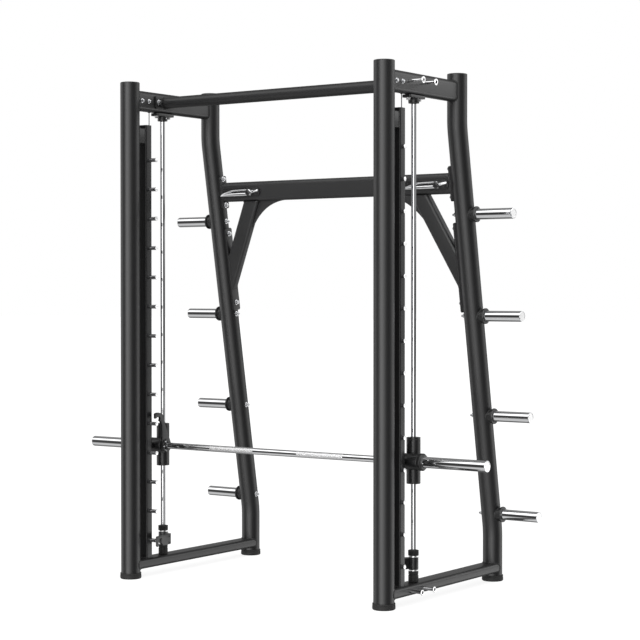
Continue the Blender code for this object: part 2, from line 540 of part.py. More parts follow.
# ---------------------------------------------------------------- safety stops, swung clear of the pegs
PEG_X_IN = HALF_W - PEG_IN
for name, s in SIDES:
    x = s * HALF_W
    pivot = bpy.data.objects.new("stop_pivot_" + name, None)
    pivot.location = (x, ROD_Y, 0)
    pivot.rotation_euler = (0, 0, -s * math.radians(STOP_SWING_DEG))
    parts.objects.link(pivot)

    def on_pivot(nm, mesh, finish=None, at=(0, 0, 0), rot=(0, 0, 0), cutter=False, pivot=pivot):
        o = place(nm, mesh, finish, at, rot, cutter)
        o.parent = pivot
        return o

    catch = on_pivot("stop_catch_" + name, turned([(0, 0.192), (STOP_TUBE_R - 0.001, 0.192), (STOP_TUBE_R, 0.191), (STOP_TUBE_R, 0.1405), (STOP_TUBE_R - 0.001, 0.1395), (0, 0.1395)], 20), "black")
    # a web joins the tube to the catch plate on the inner side
    web = [(0.057, -0.068), (0.057, -0.036), (0.020, 0.008), (0.004, 0.0), (0.004, -0.021), (0.020, -0.068)]
    web = [(-s * u, v) for u, v in (web if s < 0 else web[::-1])]
    boolean(catch, on_pivot("add_web_" + name, flat([web], 0.048), at=(0, 0, 0.1655), cutter=True), "UNION")
    # catch plate: a notch, open downwards, sits over the peg
    pz = peg_z[-1]
    py = COLUMN_Y - ROD_Y
    n_back, n_front = py + PEG_R + 0.0015, py - PEG_R - 0.0125
    outline = [(-0.034, 0.1415), (n_back + 0.018, 0.1415), (n_back + 0.006, 0.150), (n_back, 0.156), (n_back, pz + PEG_R + 0.0015), (n_front, pz + PEG_R + 0.0015),
               (n_front, 0.150), (n_front - 0.004, 0.1415), (n_front - 0.012, 0.148), (n_front - 0.014, 0.186), (n_front - 0.008, 0.1925), (-0.034, 0.1925)]
    plate = flat([outline], 0.009)
    plate.transform(Matrix.Rotation(math.pi / 2, 4, "Z") @ Matrix.Rotation(math.pi / 2, 4, "X"))
    boolean(catch, on_pivot("add_plate_" + name, plate, at=(-s * (HALF_W - 0.650), 0, 0), cutter=True), "UNION")
    boolean(catch, on_pivot("cut_stop_bore_" + name, cylinder(ROD_R + BEARING_CLEAR, 0.4, seg=20), at=(0, 0, 0.16), cutter=True))

    place("stop_bumper_" + name, turned([(0.0225, 0.223), (0.0235, 0.222), (0.0235, 0.214), (0.0222, 0.212), (0.0235, 0.210), (0.0235, 0.201), (0.0225, 0.200),
                                         (0.018, 0.1995), (0.018, 0.1925), (ROD_R + BEARING_CLEAR, 0.1925), (ROD_R + BEARING_CLEAR, 0.223)], 20),
          "rubber", (x, ROD_Y, 0))

# ---------------------------------------------------------------- pulleys, cables and counterweights
pulley_profile = [(PULLEY_RIM, PULLEY_W / 2), (PULLEY_RIM, PULLEY_W / 2 - 0.002), (PULLEY_R - CABLE_R - 0.0004, 0.0025),
                  (PULLEY_R - CABLE_R - 0.0004, -0.0025), (PULLEY_RIM, -PULLEY_W / 2 + 0.002), (PULLEY_RIM, -PULLEY_W / 2)]
for name, s in SIDES:
    x = s * HALF_W
    for end, y in (("front", PULLEY_FRONT_Y), ("back", PULLEY_BACK_Y)):
        body = turned([(0, PULLEY_W / 2)] + pulley_profile + [(0, -PULLEY_W / 2)], 20)
        wheel = place(f"pulley_{end}_{name}", body, "black", (x, y, TOP_BEAM_Z), (0, math.pi / 2, 0))
        stub = cylinder(0.006, 0.0385, seg=12)
        boolean(wheel, place(f"add_axle_{end}_{name}", stub, at=(x, y, TOP_BEAM_Z), rot=(0, math.pi / 2, 0), cutter=True), "UNION")

    # one wire: up from the carriage, over both pulleys, down to the counterweight
    def arc_points(cy, a0, a1, n):
        return [(0, cy + PULLEY_R * math.cos(a0 + (a1 - a0) * k / n), TOP_BEAM_Z + PULLEY_R * math.sin(a0 + (a1 - a0) * k / n)) for k in range(n + 1)]

    wire = [(0, PULLEY_BACK_Y + PULLEY_R, LUG_TOP + 0.0005)] + arc_points(PULLEY_BACK_Y, 0, math.pi / 2, 4) + arc_points(PULLEY_FRONT_Y, math.pi / 2, math.pi, 4)
    wire += [(0, PULLEY_FRONT_Y - PULLEY_R, WEIGHT_Z[1] + 0.0305)]
    place("cable_" + name, pipe(wire, CABLE_R, 1), "steel", (x, 0, 0))

    # counterweight, with an eye offset to sit under the front pulley's edge
    za, zb = WEIGHT_Z
    weight = place("counterweight_" + name, turned([(0, zb), (WEIGHT_R - 0.004, zb), (WEIGHT_R, zb - 0.004), (WEIGHT_R, za + 0.004), (WEIGHT_R - 0.004, za), (0, za)], 20),
                   "steel", (x, Y_FRONT, 0))
    boolean(weight, place("add_eye_" + name, cylinder(0.006, 0.040, seg=12), at=(x, Y_FRONT + 0.029, zb + 0.010), cutter=True), "UNION")
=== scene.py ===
"""Smith machine: the looks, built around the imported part."""
import math

import bmesh
import bpy
from mathutils import Matrix, Vector


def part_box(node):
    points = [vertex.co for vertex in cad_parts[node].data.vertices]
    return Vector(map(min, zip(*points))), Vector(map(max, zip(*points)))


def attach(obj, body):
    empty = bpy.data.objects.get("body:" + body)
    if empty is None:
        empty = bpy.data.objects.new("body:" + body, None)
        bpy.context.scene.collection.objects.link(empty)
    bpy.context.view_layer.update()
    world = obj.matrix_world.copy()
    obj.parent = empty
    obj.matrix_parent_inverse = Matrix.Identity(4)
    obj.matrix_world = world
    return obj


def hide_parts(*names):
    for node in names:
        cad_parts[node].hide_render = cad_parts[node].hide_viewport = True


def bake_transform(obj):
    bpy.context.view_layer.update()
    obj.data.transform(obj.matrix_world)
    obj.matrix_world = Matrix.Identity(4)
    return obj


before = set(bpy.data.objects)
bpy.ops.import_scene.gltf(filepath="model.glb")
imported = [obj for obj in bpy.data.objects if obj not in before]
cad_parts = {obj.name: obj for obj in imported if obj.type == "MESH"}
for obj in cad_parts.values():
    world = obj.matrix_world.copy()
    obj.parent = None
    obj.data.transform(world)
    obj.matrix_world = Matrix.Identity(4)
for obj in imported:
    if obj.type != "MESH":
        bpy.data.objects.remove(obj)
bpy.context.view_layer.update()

scene = bpy.context.scene
RAD = math.radians

# ---------------------------------------------------------------- where the part's own pieces are
def centre(node):
    lo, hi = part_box(node)
    return (lo + hi) / 2


fu_lo, fu_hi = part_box("front_upright_right")
HW = centre("front_upright_right").x              # upright axis from the centre plane
YF = centre("front_upright_right").y
YR_FOOT = centre("foot_cap_rear_right").y
YR_TOP = centre("top_cap_rear_right").y
TUBE_R = (fu_hi.x - fu_lo.x) / 2
TOP_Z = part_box("top_cap_front_right")[1].z
FOOT_R = (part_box("foot_cap_front_right")[1].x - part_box("foot_cap_front_right")[0].x) / 2
FOOT_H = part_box("foot_cap_front_right")[1].z
ROD_Y = centre("guide_rod_right").y
ROD_R = (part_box("guide_rod_right")[1].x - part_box("guide_rod_right")[0].x) / 2
ROD_Z0, ROD_Z1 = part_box("guide_rod_right")[0].z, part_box("guide_rod_right")[1].z
BAR = centre("barbell")
BAR_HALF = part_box("barbell")[1].x
BEAM_Z = centre("top_beam_right").z
BEAM_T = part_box("top_beam_right")[1].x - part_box("top_beam_right")[0].x
BEAM_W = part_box("top_beam_right")[1].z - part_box("top_beam_right")[0].z
LOW_Z = centre("bottom_beam_right").z
LOW_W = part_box("bottom_beam_right")[1].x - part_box("bottom_beam_right")[0].x
LOW_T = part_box("bottom_beam_right")[1].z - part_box("bottom_beam_right")[0].z
CAR_Z0, CAR_Z1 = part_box("carriage_right")[0].z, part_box("carriage_right")[1].z
PULLEY_FY, PULLEY_BY = centre("pulley_front_right").y, centre("pulley_back_right").y
PULLEY_Z = centre("pulley_front_right").z
COL_Y, COL_TOP = YF + 0.098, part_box("peg_column_right")[1].z
BEND_HI, BEND_LO = 2.079, 0.236
TILT = math.atan2(YR_FOOT - YR_TOP, BEND_HI - BEND_LO)
TRUSS = Vector((0, YF + 0.6417, 1.828))
PEG_Z = [1.955 - 0.1373 * n for n in range(14)]
HORN_Z = [0.3115 + 0.4585 * n for n in range(4)]


def upright_y(z):
    return YR_TOP + (BEND_HI - z) * math.tan(TILT)


# ---------------------------------------------------------------- materials
def nodes_of(m):
    m.use_nodes = True
    return m.node_tree.nodes, m.node_tree.links, m.node_tree.nodes["Principled BSDF"]


def noise(n, l, scale, detail=3, rough=0.55, coords="Object", stretch=None):
    tc = n.new("ShaderNodeTexCoord")
    src = tc.outputs[coords]
    if stretch:
        mp = n.new("ShaderNodeMapping")
        mp.inputs["Scale"].default_value = stretch
        l.new(src, mp.inputs["Vector"])
        src = mp.outputs["Vector"]
    t = n.new("ShaderNodeTexNoise")
    t.inputs["Scale"].default_value = scale
    t.inputs["Detail"].default_value = detail
    t.inputs["Roughness"].default_value = rough
    l.new(src, t.inputs["Vector"])
    return t.outputs["Fac"]


def spread(n, l, fac, a, b):
    r = n.new("ShaderNodeMapRange")
    r.inputs["To Min"].default_value = a
    r.inputs["To Max"].default_value = b
    l.new(fac, r.inputs["Value"])
    return r.outputs["Result"]


def tint(n, l, fac, a, b):
    r = n.new("ShaderNodeMix")
    r.data_type = "RGBA"
    r.inputs["A"].default_value = (*a, 1)
    r.inputs["B"].default_value = (*b, 1)
    l.new(fac, r.inputs["Factor"])
    return r.outputs["Result"]


def bump(n, l, b, height, strength, distance):
    bp = n.new("ShaderNodeBump")
    bp.inputs["Strength"].default_value = strength
    bp.inputs["Distance"].default_value = distance
    l.new(height, bp.inputs["Height"])
    l.new(bp.outputs["Normal"], b.inputs["Normal"])
    return bp


def powder(name, dark, light, r0, r1, spec=0.5, grain=900):
    """Satin powder coat: fine orange peel, slow drift in sheen and depth of black."""
    m = bpy.data.materials.new(name)
    n, l, b = nodes_of(m)
    slow = noise(n, l, 6, 4)
    fine = noise(n, l, grain, 2, 0.6)
    l.new(tint(n, l, slow, dark, light), b.inputs["Base Color"])
    l.new(spread(n, l, fine, r0, r1), b.inputs["Roughness"])
    b.inputs["Specular IOR Level"].default_value = spec
    bump(n, l, b, fine, 0.22, 0.0002)
    return m


def metal(name, dark, light, r0, r1, grain=260, stretch=None, strength=0.05, metallic=1.0):
    m = bpy.data.materials.new(name)
    n, l, b = nodes_of(m)
    slow = noise(n, l, 14, 4)
    fine = noise(n, l, grain, 3, 0.6, stretch=stretch)
    l.new(tint(n, l, slow, dark, light), b.inputs["Base Color"])
    l.new(spread(n, l, fine, r0, r1), b.inputs["Roughness"])
    b.inputs["Metallic"].default_value = metallic
    bump(n, l, b, fine, strength, 0.0001)
    return m


def knurl(name):
    """Diamond knurling: two crossed helices of grooves around the bar's axis, a fine pitch; painted shade darkens the
    base colour in the grooves, and it is lighter on the crests.
    """
    m = bpy.data.materials.new(name)
    n, l, b = nodes_of(m)
    tc = n.new("ShaderNodeTexCoord")
    sp = n.new("ShaderNodeSeparateXYZ")
    l.new(tc.outputs["Object"], sp.inputs[0])

    def math_node(op, *args):
        k = n.new("ShaderNodeMath")
        k.operation = op
        for i, a in enumerate(args):
            if isinstance(a, (int, float)):
                k.inputs[i].default_value = a
            else:
                l.new(a, k.inputs[i])
        return k.outputs[0]

    dy = math_node("SUBTRACT", sp.outputs["Y"], BAR.y)
    dz = math_node("SUBTRACT", sp.outputs["Z"], BAR.z)
    turn = math_node("MULTIPLY", math_node("ARCTAN2", dz, dy), 0.015)
    waves = []
    for s in (1, -1):
        along = math_node("ADD", math_node("MULTIPLY", sp.outputs["X"], 0.5), math_node("MULTIPLY", turn, s))
        waves.append(math_node("ABSOLUTE", math_node("SINE", math_node("MULTIPLY", along, math.pi / 0.0011))))
    h = math_node("MULTIPLY", waves[0], waves[1])
    # painted shade: base colour darker in the grooves, lighter on the crests
    l.new(tint(n, l, h, (0.60, 0.60, 0.61), (0.95, 0.95, 0.95)), b.inputs["Base Color"])
    l.new(spread(n, l, h, 0.42, 0.24), b.inputs["Roughness"])
    b.inputs["Metallic"].default_value = 1.0
    bump(n, l, b, h, 0.30, 0.0004)
    return m


def ground_rod(name):
    """Ground and plated rod: bright face on; painted shade takes the base colour to near black where it is seen at a
    slant, standing in for dark reflections at its edges.
    """
    m = metal(name, (0.80, 0.81, 0.82), (0.88, 0.88, 0.89), 0.045, 0.085, 120)
    n, l, b = nodes_of(m)
    # painted shade: base colour mixed towards near black by the facing ratio, so the rod darkens towards its silhouette
    face = n.new("ShaderNodeLayerWeight")
    face.inputs["Blend"].default_value = 0.5
    edge = n.new("ShaderNodeMapRange")
    edge.interpolation_type = "SMOOTHSTEP"
    edge.inputs["From Min"].default_value = 0.16
    edge.inputs["From Max"].default_value = 0.34
    l.new(face.outputs["Facing"], edge.inputs["Value"])
    k = n.new("ShaderNodeMix")
    k.data_type = "RGBA"
    l.new(edge.outputs["Result"], k.inputs["Factor"])
    l.new(b.inputs["Base Color"].links[0].from_socket, k.inputs["A"])
    k.inputs["B"].default_value = (0.13, 0.13, 0.135, 1)
    l.new(k.outputs["Result"], b.inputs["Base Color"])
    return m


def wire_material(name):
    """Stranded steel wire: the lay of the strands as a helical ridge, with painted shade darkening the base colour
    between the strands.
    """
    m = bpy.data.materials.new(name)
    n, l, b = nodes_of(m)
    tc = n.new("ShaderNodeTexCoord")
    w = n.new("ShaderNodeTexWave")
    w.bands_direction = "DIAGONAL"
    w.inputs["Scale"].default_value = 180
    w.inputs["Distortion"].default_value = 0.2
    l.new(tc.outputs["Object"], w.inputs["Vector"])
    # painted shade: base colour darker between the strands, lighter on their ridges
    l.new(tint(n, l, w.outputs["Fac"], (0.05, 0.05, 0.05), (0.24, 0.24, 0.245)), b.inputs["Base Color"])
    l.new(spread(n, l, w.outputs["Fac"], 0.45, 0.3), b.inputs["Roughness"])
    b.inputs["Metallic"].default_value = 0.9
    bump(n, l, b, w.outputs["Fac"], 0.5, 0.0004)
    return m


PAINT = powder("satin_black_coat", (0.0066, 0.0066, 0.0069), (0.0094, 0.0094, 0.0098), 0.34, 0.42)
# painted light: a lighter copy of the frame coat for the crossbar, braces and gussets, standing in for the brighter
# light on the rear truss
PAINT_TRUSS_LIGHTENED = powder("satin_black_truss_painted_light", (0.0120, 0.0120, 0.0124), (0.0160, 0.0160, 0.0165), 0.36, 0.44)
# painted shade: a copy of the frame coat with weaker specular and lower roughness, so the columns' and brackets' flat
# sides read darker as if in shade
PAINT_COLUMN_SHADED = powder("satin_black_column_painted_shade", (0.0090, 0.0090, 0.0093), (0.0122, 0.0122, 0.0126), 0.24, 0.31, 0.32)
# painted light: a lighter copy of the frame coat on the top beams, standing in for the brighter light on their sides
PAINT_BEAM_LIGHTENED = powder("satin_black_beam_painted_light", (0.0110, 0.0110, 0.0114), (0.0145, 0.0145, 0.0149), 0.34, 0.42)
PAINT2 = powder("carriage_coat", (0.0050, 0.0050, 0.0053), (0.0080, 0.0080, 0.0084), 0.31, 0.40)
PLASTIC = powder("moulded_black", (0.012, 0.012, 0.012), (0.017, 0.017, 0.017), 0.42, 0.52, 0.45, 1600)
RUBBER = powder("black_rubber", (0.009, 0.009, 0.009), (0.015, 0.015, 0.0145), 0.58, 0.74, 0.35, 1300)
CHROME = metal("polished_chrome", (0.80, 0.81, 0.82), (0.88, 0.88, 0.89), 0.045, 0.085, 120)
BRIGHT = metal("turned_end_face", (0.78, 0.78, 0.78), (0.87, 0.87, 0.87), 0.28, 0.40, 500)
ZINC = metal("zinc_plated", (0.62, 0.63, 0.65), (0.78, 0.78, 0.79), 0.16, 0.28, 400)
BOLT = metal("bolt_steel", (0.40, 0.41, 0.42), (0.62, 0.62, 0.63), 0.16, 0.28, 300)
STEEL = metal("turned_steel", (0.30, 0.30, 0.31), (0.42, 0.42, 0.43), 0.28, 0.42, 300, (40, 40, 1))
BLACK_STEEL = metal("black_oxide", (0.020, 0.020, 0.021), (0.036, 0.036, 0.037), 0.30, 0.42, 500, None, 0.08, 0.6)
# painted shade: the pegs' chrome with a much lower base colour, standing in for the dark reflections along their shafts
PEG_CHROME_DARKENED = metal("peg_chrome_painted_shade", (0.36, 0.36, 0.37), (0.48, 0.48, 0.49), 0.10, 0.18, 300)
PIN_METAL = metal("plated_pin", (0.92, 0.92, 0.93), (0.97, 0.97, 0.97), 0.07, 0.12, 200)
# guide rod metal with painted shade at its edges, also used on the lower band pins' shanks
ROD_METAL = ground_rod("guide_rod_painted_edge_shade")
KNURL = knurl("knurled_chrome")
WIRE = wire_material("stranded_wire")


# ---------------------------------------------------------------- mesh helpers
def arc2(cx, cy, r, a0, a1, n):
    return [(cx + r * math.cos(RAD(a0 + (a1 - a0) * k / n)), cy + r * math.sin(RAD(a0 + (a1 - a0) * k / n))) for k in range(n + 1)]


def rounded(w, h, r, n=8):
    pts = []
    for cx, cy, a in ((w / 2 - r, h / 2 - r, 0), (-w / 2 + r, h / 2 - r, 90), (-w / 2 + r, -h / 2 + r, 180), (w / 2 - r, -h / 2 + r, 270)):
        pts += arc2(cx, cy, r, a, a + 90, n)
    return pts


def soften(points, r, steps=3, closed=False):
    """A 2D outline with its corners rounded by arcs of radius r, less where the sides are short."""
    out = []
    count = len(points)
    for i, p in enumerate(points):
        if not closed and i in (0, count - 1):
            out.append(tuple(p))
            continue
        a, b, c = Vector(points[i - 1]), Vector(p), Vector(points[(i + 1) % count])
        u, v = a - b, c - b
        if u.length < 1e-7 or v.length < 1e-7:
            continue
        angle = u.angle(v)
        if angle > RAD(172) or angle < RAD(4):
            out.append(tuple(b))
            continue
        t = min(r / math.tan(angle / 2), u.length * 0.45, v.length * 0.45)
        rr = t * math.tan(angle / 2)
        u.normalize()
        v.normalize()
        c0 = b + (u + v).normalized() * (rr / math.sin(angle / 2))
        s, e = b + u * t - c0, b + v * t - c0
        a0, a1 = math.atan2(s.y, s.x), math.atan2(e.y, e.x)
        d = (a1 - a0 + math.pi) % (2 * math.pi) - math.pi
        for k in range(steps + 1):
            q = a0 + d * k / steps
            out.append((c0.x + rr * math.cos(q), c0.y + rr * math.sin(q)))
    return out


def facing(point, z_dir, x_hint=(0, 0, 1)):
    """A matrix whose local Z points along z_dir from a point."""
    z = Vector(z_dir).normalized()
    x = Vector(x_hint) - z * z.dot(Vector(x_hint))
    if x.length < 1e-4:
        x = Vector((1, 0, 0)) - z * z.x
    x.normalize()
    y = z.cross(x)
    return Matrix.Translation(Vector(point)) @ Matrix((x, y, z)).transposed().to_4x4()


class Mesh:
    """Faces gathered in row-frame coordinates, with a material index each."""

    def __init__(self):
        self.v, self.f, self.m = [], [], []

    def add(self, verts, faces, mat=0, at=None):
        n = len(self.v)
        self.v += [tuple(at @ Vector(p)) if at is not None else tuple(p) for p in verts]
        self.f += [[i + n for i in f] for f in faces]
        self.m += [mat] * len(faces)
        return self

    def lathe(self, profile, seg=64, mat=0, at=None, mats=None):
        """Turned about local Z; profile of (radius, z). Ends on the axis are closed; otherwise it is a ring."""
        verts, rows = [], []
        for r, z in profile:
            if r < 1e-7:
                rows.append([len(verts)] * seg)
                verts.append((0, 0, z))
            else:
                rows.append(list(range(len(verts), len(verts) + seg)))
                verts += [(r * math.cos(2 * math.pi * k / seg), r * math.sin(2 * math.pi * k / seg), z) for k in range(seg)]
        pairs = list(zip(rows, rows[1:]))
        if profile[0][0] > 1e-7:
            pairs.append((rows[-1], rows[0]))
        base = len(self.v)
        self.v += [tuple(at @ Vector(p)) if at is not None else tuple(p) for p in verts]
        for j, (a, b) in enumerate(pairs):
            for k in range(seg):
                q = [a[k], a[(k + 1) % seg], b[(k + 1) % seg], b[k]]
                q = [i for n, i in enumerate(q) if i not in q[:n]]
                if len(q) > 2:
                    self.f.append([i + base for i in q][::-1])
                    self.m.append(mats[j] if mats else mat)
        return self

    def loft(self, rings, mat=0, closed=False, at=None):
        """Skins rings of equal count; open ends get a cap."""
        n = len(rings[0])
        verts = [p for r in rings for p in r]
        faces = []
        for j in range(len(rings) - (0 if closed else 1)):
            a, b = j * n, ((j + 1) % len(rings)) * n
            for k in range(n):
                faces.append([a + k, a + (k + 1) % n, b + (k + 1) % n, b + k])
        if not closed:
            faces += [list(range(n))[::-1], list(range((len(rings) - 1) * n, len(rings) * n))]
        return self.add(verts, faces, mat, at)

    def sweep(self, path, outline, mat=0, closed=False, normal=(1, 0, 0)):
        """Carries an outline along a path, without twist."""
        path = [Vector(p) for p in path]
        rings, nrm = [], Vector(normal)
        for i, p in enumerate(path):
            a = path[i - 1] if (i or closed) else p
            b = path[(i + 1) % len(path)] if (i < len(path) - 1 or closed) else p
            t = (b - a).normalized()
            nrm = (nrm - t * t.dot(nrm)).normalized()
            bi = t.cross(nrm)
            rings.append([tuple(p + nrm * u + bi * v) for u, v in outline])
        return self.loft(rings, mat, closed)

    def plate(self, outline, thickness, mat=0, at=None, edge=0.0009):
        """A flat plate in local XY, its rims rounded over."""
        bm = bmesh.new()
        area = sum(a[0] * b[1] - b[0] * a[1] for a, b in zip(outline, outline[1:] + outline[:1]))
        pts = outline if area > 0 else outline[::-1]
        bottom = bm.faces.new([bm.verts.new((x, y, -thickness / 2)) for x, y in pts])
        top = bmesh.ops.extrude_face_region(bm, geom=[bottom])["geom"]
        bmesh.ops.translate(bm, verts=[g for g in top if isinstance(g, bmesh.types.BMVert)], vec=(0, 0, thickness))
        bmesh.ops.recalc_face_normals(bm, faces=bm.faces)
        rims = [e for e in bm.edges if abs(e.verts[0].co.z - e.verts[1].co.z) < 1e-9]
        bmesh.ops.bevel(bm, geom=rims, offset=edge, segments=3, profile=0.5, affect="EDGES", clamp_overlap=True)
        bm.verts.index_update()
        self.add([tuple(v.co) for v in bm.verts], [[v.index for v in f.verts] for f in bm.faces], mat, at)
        bm.free()
        return self

    def object(self, name, mats, body, slot=None, replaces=(), angle=32, weld=False):
        me = bpy.data.meshes.new(name)
        me.from_pydata(self.v, [], self.f)
        me.update()
        for m in (mats if isinstance(mats, (list, tuple)) else [mats]):
            me.materials.append(m)
        me.polygons.foreach_set("material_index", self.m)
        bm = bmesh.new()
        bm.from_mesh(me)
        if weld:
            bmesh.ops.remove_doubles(bm, verts=bm.verts, dist=1e-6)
        bmesh.ops.recalc_face_normals(bm, faces=bm.faces)
        bm.to_mesh(me)
        bm.free()
        me.shade_smooth()
        me.set_sharp_from_angle(angle=RAD(angle))
        o = bpy.data.objects.new(name, me)
        scene.collection.objects.link(o)
        if body:
            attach(o, body)
        if replaces:
            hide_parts(*replaces)
        return o


def combine(o, other, op="DIFFERENCE", angle=32):
    """One Boolean, applied at once."""
    cut = other.object("cutter", o.data.materials[0], None)
    m = o.modifiers.new("b", "BOOLEAN")
    m.operation, m.solver, m.object = op, "EXACT", cut
    bpy.context.view_layer.update()
    me = bpy.data.meshes.new_from_object(o.evaluated_get(bpy.context.evaluated_depsgraph_get()))
    o.modifiers.clear()
    old = o.data
    o.data = me
    bpy.data.meshes.remove(old)
    me.name = o.name
    me.shade_smooth()
    me.set_sharp_from_angle(angle=RAD(angle))
    gone = cut.data
    bpy.data.objects.remove(cut, do_unlink=True)
    bpy.data.meshes.remove(gone)
    return o


def rod(r, length, chamfer=0.001, start=0.0):
    """Profile of a solid round piece from z=start to start+length."""
    a, b = start, start + length
    return [(0, b)] + soften([(0, b), (r, b), (r, a), (0, a)], chamfer, 3)[1:-1] + [(0, a)]


def ring_profile(r_out, r_in, a, b, chamfer=0.001):
    return soften([(r_out, b), (r_out, a), (r_in, a), (r_in, b)], chamfer, 3, True)


def bolt(mesh, point, direction, size=0.013, head=0.0065, washer=0.0105, mat=0, mat_w=0, thread=0.0, spin=0.0):
    """Hex head with a chamfered crown on a washer; across flats = size."""
    at = facing(point, direction) @ Matrix.Rotation(spin, 4, "Z")
    t = 0.0016
    mesh.lathe([(0, t)] + soften([(0, t), (washer, t), (washer, 0), (0, 0)], 0.0004, 2)[1:-1] + [(0, 0)], 32, mat_w, at)
    n = 36
    apothem = size / 2

    def hexr(a):
        return apothem / math.cos((a + math.pi / 6) % (math.pi / 3) - math.pi / 6)

    rings = []
    for z, lim in ((t, 9), (t + head - 0.0016, 9), (t + head - 0.0010, apothem * 1.10), (t + head - 0.0003, apothem * 1.02), (t + head, apothem * 0.90)):
        rings.append([(min(hexr(2 * math.pi * k / n), lim) * math.cos(2 * math.pi * k / n), min(hexr(2 * math.pi * k / n), lim) * math.sin(2 * math.pi * k / n), z) for k in range(n)])
    mesh.loft(rings, mat, at=at)
    if thread:
        mesh.lathe([(0, t + head + thread)] + soften([(0, t + head + thread), (size * 0.28, t + head + thread), (size * 0.28, t + head)], 0.0008, 2)[1:-1]
                   + [(size * 0.28, t + head - 0.0005), (0, t + head - 0.0005)], 24, mat, at)


def socket_bolt(mesh, point, direction, r=0.0055, h=0.004, mat=0, recess_mat_painted_shade=1):
    """Button head with a hex recess; the recess takes its own material, which carries painted shade where it is darker
    than the head.
    """
    at = facing(point, direction)
    prof = [(0, h * 0.45), (r * 0.38, h * 0.45), (r * 0.42, h * 0.95), (r * 0.55, h), (r * 0.8, h * 0.86), (r * 0.96, h * 0.5), (r, 0.0003), (r, 0), (0, 0)]
    mesh.lathe(prof, 24, mat, at, mats=[recess_mat_painted_shade, recess_mat_painted_shade, mat, mat, mat, mat, mat, mat])


def weld_bead(mesh, path, size=0.0032, mat=0, closed=True, ripple=0.0042):
    """A fused bead with ripples along a path."""
    pts = [Vector(p) for p in path]
    dense = []
    count = len(pts)
    for i in range(count if closed else count - 1):
        a, b = pts[i], pts[(i + 1) % count]
        steps = max(1, int((b - a).length / (ripple / 3)))
        dense += [a.lerp(b, k / steps) for k in range(steps)]
    if not closed:
        dense.append(pts[-1])
    rings, nrm, run = [], Vector((0.31, 0.17, 0.93)).normalized(), 0.0
    for i, p in enumerate(dense):
        a = dense[i - 1] if (i or closed) else p
        b = dense[(i + 1) % len(dense)] if (i < len(dense) - 1 or closed) else p
        t = (b - a).normalized()
        nrm = (nrm - t * t.dot(nrm)).normalized()
        bi = t.cross(nrm)
        run += (p - dense[i - 1]).length if i else 0
        r = size * (1 + 0.10 * math.sin(run / ripple * 2 * math.pi) + 0.05 * math.sin(run * 71))
        rings.append([tuple(p + nrm * (r * math.cos(k * math.pi / 4)) + bi * (r * math.sin(k * math.pi / 4))) for k in range(8)])
    mesh.loft(rings, mat, closed)


def arc_path(points, radius, n=14):
    """A polyline whose inner corners are arcs."""
    out = [Vector(points[0])]
    for a, b, c in zip(points, points[1:], points[2:]):
        a, b, c = Vector(a), Vector(b), Vector(c)
        u, v = (a - b).normalized(), (c - b).normalized()
        angle = u.angle(v)
        t = radius / math.tan(angle / 2)
        mid = b + (u + v).normalized() * (radius / math.sin(angle / 2))
        s, e = b + u * t - mid, b + v * t - mid
        axis = s.cross(e).normalized()
        total = s.angle(e)
        out += [mid + Matrix.Rotation(total * k / n, 3, axis) @ s for k in range(n + 1)]
    out.append(Vector(points[-1]))
    return out


SIDES = (("left", -1), ("right", 1))
Z0 = 0.0103                 # tubes start on the rubber
Z1 = TOP_Z - 0.0053

# ---------------------------------------------------------------- uprights, caps, feet
for name, s in SIDES:
    x = s * HW
    up = Mesh().lathe([(TUBE_R, Z1), (TUBE_R, 1.2), (TUBE_R, Z0), (TUBE_R - 0.003, Z0), (TUBE_R - 0.003, Z1)], 112, 0, Matrix.Translation((x, YF, 0)))
    up = up.object("upright_front_" + name, PAINT, "frame", "frame_paint", ["front_upright_" + name])
    slot = Mesh().plate(rounded(0.018, 0.070, 0.004, 4), 0.02, at=facing((x, YF + 0.043, BEAM_Z), (0, 1, 0)) )
    combine(up, slot)

    path = arc_path([(x, YR_TOP, Z1), (x, YR_TOP, BEND_HI), (x, YR_FOOT, BEND_LO), (x, YR_FOOT, Z0)], 0.40, 22)
    circle = [(TUBE_R * math.cos(2 * math.pi * k / 112), TUBE_R * math.sin(2 * math.pi * k / 112)) for k in range(112)]
    Mesh().sweep(path, circle).object("upright_rear_" + name, PAINT, "frame", "frame_paint", ["rear_upright_" + name])

    for end, yf, yt in (("front", YF, YF), ("rear", YR_FOOT, YR_TOP)):
        foot = soften([(0, FOOT_H), (TUBE_R + 0.0004, FOOT_H), (FOOT_R - 0.0008, FOOT_H), (FOOT_R - 0.0004, 0.0205), (FOOT_R - 0.0014, 0.0195), (FOOT_R - 0.0014, 0.0180),
                       (FOOT_R - 0.0002, 0.0170), (FOOT_R, 0.004), (FOOT_R - 0.0035, 0.0), (0, 0)], 0.0008, 3)
        foot = [(0, 0.0100), (TUBE_R + 0.0002, 0.0100), (TUBE_R + 0.0002, FOOT_H - 0.001), (TUBE_R + 0.0014, FOOT_H)] + foot[2:]
        Mesh().lathe(foot, 96, 0, Matrix.Translation((x, yf, 0))).object(f"foot_{end}_{name}", RUBBER, "frame", "foot_rubber", [f"foot_cap_{end}_{name}"])
        cap = [(0, TOP_Z), (0.020, TOP_Z - 0.0001), (0.036, TOP_Z - 0.0006), (0.0405, TOP_Z - 0.0012), (0.0432, TOP_Z - 0.0020), (0.0446, TOP_Z - 0.0032), (TUBE_R, TOP_Z - 0.0046),
               (TUBE_R, TOP_Z - 0.0052), (0.0412, TOP_Z - 0.0052), (0.0412, TOP_Z - 0.022), (0, TOP_Z - 0.022)]
        Mesh().lathe(cap, 96, 0, Matrix.Translation((x, yt, 0))).object(f"cap_{end}_{name}", PLASTIC, "frame", "cap_plastic", [f"top_cap_{end}_{name}"])

